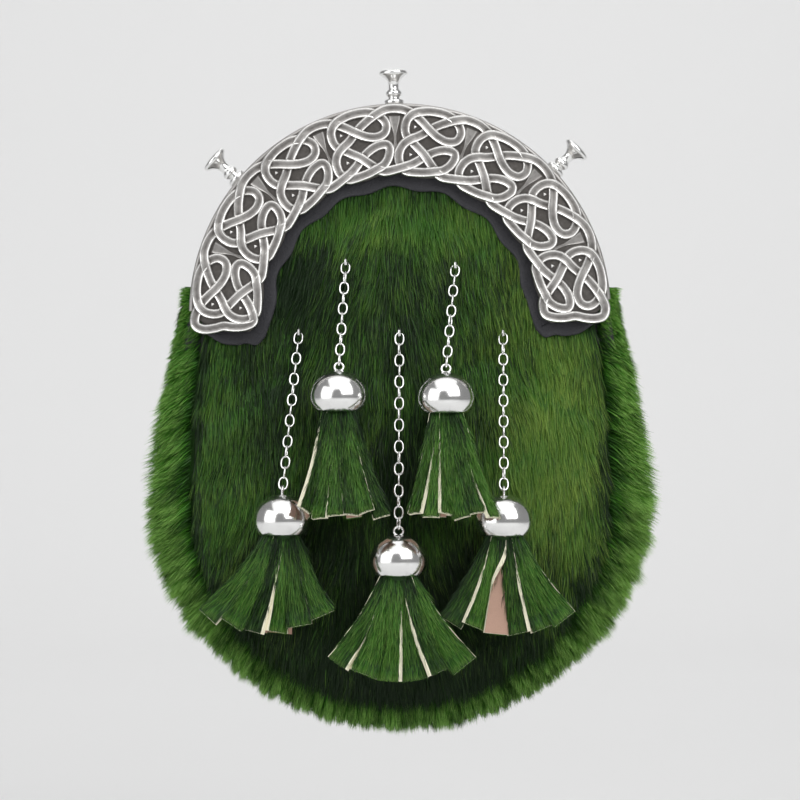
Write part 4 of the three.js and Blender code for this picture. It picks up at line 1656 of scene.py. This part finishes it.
    def strip_skin(self, line: Array, across: Array, outward: Array, half: Array, bare: bool) -> Skin:
        """Makes one strip of hide with cut edges.

        Args:
            line: Its middle line.
            across: The way across it.
            outward: The way out of its fur side.
            half: Its half width.
            bare: Whether its cut edges are bare.

        Returns:
            The strip.
        """
        thick = self.hide / 2.0
        top = [(-1.0, thick), (-0.9, thick), (-0.9, thick), (0.0, thick), (0.9, thick), (0.9, thick), (1.0, thick)]
        under = [(1.0, -thick), (1.0, -thick), (0.0, -thick), (-1.0, -thick), (-1.0, -thick), (-1.0, thick)]
        section = top + under
        rim = 1.0 if bare else 0.0
        cut = [rim, rim, 0.0, 0.0, 0.0, rim, rim, 1.0, 0.0, 0.0, 0.0, 1.0, 1.0]
        flesh = [0.0] * 8 + [1.0] * 3 + [0.0] * 2
        columns = []
        for offset, height in section:
            curl = 0.12 * half * (1.0 - offset**2)
            columns.append(line + (offset * half)[:, None] * across + (height + curl)[:, None] * outward)
        skin = sheet(np.stack(columns, axis=1), ring_columns=True)
        skin.painted(np.tile(cut, len(line)), np.tile(flesh, len(line)), 0.0)
        grid = np.stack(columns, axis=1)
        start, end = (sheet(grid[row][[[0, 3, 6], [10, 9, 8]]]).painted(1.0, 0.0, 0.0) for row in (0, -1))
        return Skin.joined([skin, end, start])

    def coat(self, strips: Sequence["Strip"]) -> Coat:
        """Grows the fur on the strips.

        Args:
            strips: The strips.

        Returns:
            The strands.
        """
        draw = np.random.default_rng(self.seed + 2)
        each = self.hairs // len(strips)
        parts: list[list[Array]] = []
        for line, across, outward, half, bare in strips:
            share = draw.uniform(0.0, 1.0, each) ** 0.8 * (len(line) - 1.001)
            row = share.astype(int)
            rest = (share - row)[:, None]
            place, side, out = (
                part[row] * (1.0 - rest) + part[row + 1] * rest for part in (line, across, outward)
            )
            run = unit(line[row + 1] - line[row])
            offset = draw.uniform(-1.0, 1.0, each) * (0.84 if bare else 1.0)
            wide = half[row] * (1.0 - rest[:, 0]) + half[row + 1] * rest[:, 0]
            above = 0.5 + 0.12 * wide * (1.0 - offset**2)
            place = place + (offset * wide)[:, None] * side + above[:, None] * out
            length = draw.uniform(4.5, 8.5, each)
            room = (1.0 - share / (len(line) - 1)) * float(np.linalg.norm(line[-1] - line[0]))
            length = np.minimum(length, room + 0.5)
            lift = np.radians(np.clip(draw.normal(12.0, 6.0, each), 2.0, 30.0))[:, None]
            lean = draw.normal(0.0, 0.1, each)[:, None] + 0.1 * offset[:, None]
            ways = unit(np.cos(lift) * (np.cos(lean) * run + np.sin(lean) * side) + np.sin(lift) * out)
            # Shade: random per strip and per hair, with painted shade towards each strip's edges between the strips,
            # and a painted shadow under the cap at the top.
            shade = draw.normal(0.54, 0.18) + draw.normal(0.0, 0.17, each) - 0.3 * np.abs(offset) ** 3
            shade = shade - 0.25 * (1.0 - smooth(share / 4.0))
            zone = np.clip(draw.normal(0.14, 0.14, each), 0.0, 1.0)
            faces = rolled(out, ways, draw.normal(0.0, 0.5, each))
            width = 0.31 * draw.uniform(0.6, 1.25, each)
            bends = -0.5 * np.sin(lift) * out
            parts.append([place, ways, bends, faces, length, width, np.clip(shade, 0.0, 1.0), zone])
        return Coat(*(np.concatenate(columns) for columns in zip(*parts)))

    def build(self) -> None:
        """Builds the chain, cap and skirt."""
        chrome = self.finishes.chrome
        fit(mesh_object(f"links_{self.name}", self.chain(), chrome), "bright_chrome", f"chain_{self.name}")
        fit(mesh_object(f"dome_{self.name}", self.cap_skin(), chrome), "bright_chrome", f"cap_{self.name}")
        strips = self.strips()
        hide = Skin.joined([self.strip_skin(*strip) for strip in strips])
        head = turned([(0.0, 3.0), (6.4, 3.0), (6.6, 2.0), (6.3, -1.2), (4.0, -2.4), (0.0, -2.4)], 32)
        head.points = head.points + self.cap_top - np.array([0.0, 0.0, self.cap_height])
        hide = Skin.joined([hide, head.painted(0.0, 0.0, 0.0)])
        fit(mesh_object(f"strips_{self.name}", hide, self.finishes.tassel_hide, merge=False), "tassel_fur",
            f"skirt_{self.name}")
        coat = self.coat(strips).skin(2)
        fur = mesh_object(f"strip_fur_{self.name}", coat, self.finishes.tassel_fur, hair=True)
        fit(fur, "tassel_fur")


def tassels(finishes: Finishes) -> list[Tassel]:
    """Lists the five tassels.

    Args:
        finishes: The shared materials.

    Returns:
        The tassels.
    """
    return [
        Tassel(finishes, "upper_left", (-19.3, -11.5), (-21.5, -51.3), (-36.0, -3.6), -102.8, 1.5, -64.0, -47.0,
               (-28.0, -9.0), (-50.0, 30.0, 14.0, -26.0, 20.0, -8.0), 101),
        Tassel(finishes, "upper_right", (19.7, -12.6), (16.2, -50.6), (2.6, 35.0), -103.2, 1.5, -64.0, -47.0,
               (8.0, 24.0), (40.0, 12.0, -34.0, 22.0, -14.0, -46.0), 111),
        Tassel(finishes, "lower_left", (-36.0, -36.4), (-41.0, -91.8), (-71.0, -23.0), -143.0, 8.0, -57.0, -45.0,
               (-64.0, -30.0), (26.0, -24.0, 38.0, -40.0, 12.0, -10.0), 121),
        Tassel(finishes, "lower_middle", (-0.2, -36.7), (-0.5, -106.7), (-26.0, 27.0), -159.0, 7.0, -59.0, -47.0,
               (-18.0, 18.0), (36.0, -18.0, 30.0, 8.0, -36.0, 16.0), 131),
        Tassel(finishes, "lower_right", (36.7, -36.7), (36.4, -92.5), (13.5, 61.5), -143.6, 8.0, -57.0, -45.0,
               (22.0, 53.0), (10.0, -30.0, 165.0, 34.0, -28.0, 14.0), 141),
    ]


# Studio


@dataclass
class Studio:
    """The pale floor and backdrop, soft lights and the camera."""

    finishes: Finishes
    floor_z: float = -0.24
    distance: float = 1.5
    view_width: float = 0.284
    view_z: float = -0.0605

    def backdrop(self) -> None:
        """Makes a floor that sweeps up behind the object."""
        turn = np.linspace(0.0, math.pi / 2.0, 16)
        bend = 700.0
        y = np.concatenate([[-4000.0], 1500.0 + bend * np.sin(turn), [1500.0 + bend]])
        z = self.floor_z / MM + np.concatenate([[0.0], bend * (1.0 - np.cos(turn)), [3000.0]])
        x = np.linspace(-3000.0, 3000.0, 5)[None]
        sweep = sheet(stack(x, y[:, None], z[:, None]))
        mesh_object("paper_sweep", sweep, self.finishes.paper)

    def lamp(self, name: str, place: Colour, aim: Colour, size: float, power: float) -> None:
        """Hangs a soft square lamp.

        Args:
            name: Its name.
            place: Where it hangs, in metres.
            aim: What it points at.
            size: Its side.
            power: Its power in watts.
        """
        light = bpy.data.lights.new(name, "AREA")
        light.size = size
        light.energy = power
        made = bpy.data.objects.new(name, light)
        made.location = place
        way = Vector(aim) - Vector(place)
        made.rotation_euler = way.to_track_quat("-Z", "Y").to_euler()
        bpy.context.scene.collection.objects.link(made)

    def build(self) -> None:
        """Sets up the studio."""
        self.backdrop()
        middle = (0.0, -0.03, -0.07)
        self.lamp("key", (0.6, -0.9, 0.7), middle, 1.1, 9.0)
        self.lamp("fill", (-0.95, -0.75, 0.3), middle, 1.1, 5.0)
        self.lamp("top", (0.0, -0.45, 1.0), middle, 1.5, 6.5)
        self.lamp("paper", (0.0, 0.9, 2.1), (0.0, 2.2, 1.4), 1.8, 34.0)
        world = bpy.data.worlds.new("soft_room")
        world.use_nodes = True
        world.node_tree.nodes["Background"].inputs[0].default_value = (1.0, 1.0, 1.0, 1.0)
        world.node_tree.nodes["Background"].inputs[1].default_value = 0.26
        scene = bpy.context.scene
        scene.world = world
        scene.view_settings.view_transform = "Standard"
        lens = bpy.data.cameras.new("camera")
        lens.sensor_width = 36.0
        lens.lens = 36.0 * self.distance / self.view_width
        lens.clip_end = 20.0
        eye = bpy.data.objects.new("camera", lens)
        eye.location = (0.0, -0.03 - self.distance, self.view_z)
        eye.rotation_euler = (math.pi / 2.0, 0.0, 0.0)
        scene.collection.objects.link(eye)
        scene.camera = eye


def dress_nodes(finishes: Finishes) -> None:
    """Gives the solids that still show their finishes.

    Args:
        finishes: The shared materials.
    """
    for name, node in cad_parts.items():
        shared = finishes.chrome if name.startswith("staple") else finishes.leather
        node.data.materials.clear()
        node.data.materials.append(shared)


def main() -> None:
    """Builds every piece in order."""
    logging.basicConfig(level=logging.INFO, format="%(name)s %(message)s")
    finishes = Finishes()
    dress_nodes(finishes)
    FrontPanel(finishes).build()
    Gusset(finishes).build()
    BackPanel(finishes).build()
    BeltLoop(finishes).build()
    Cantle(finishes).build()
    for tassel in tassels(finishes):
        tassel.build()
    Studio(finishes).build()


if __name__ == "__main__":
    main()
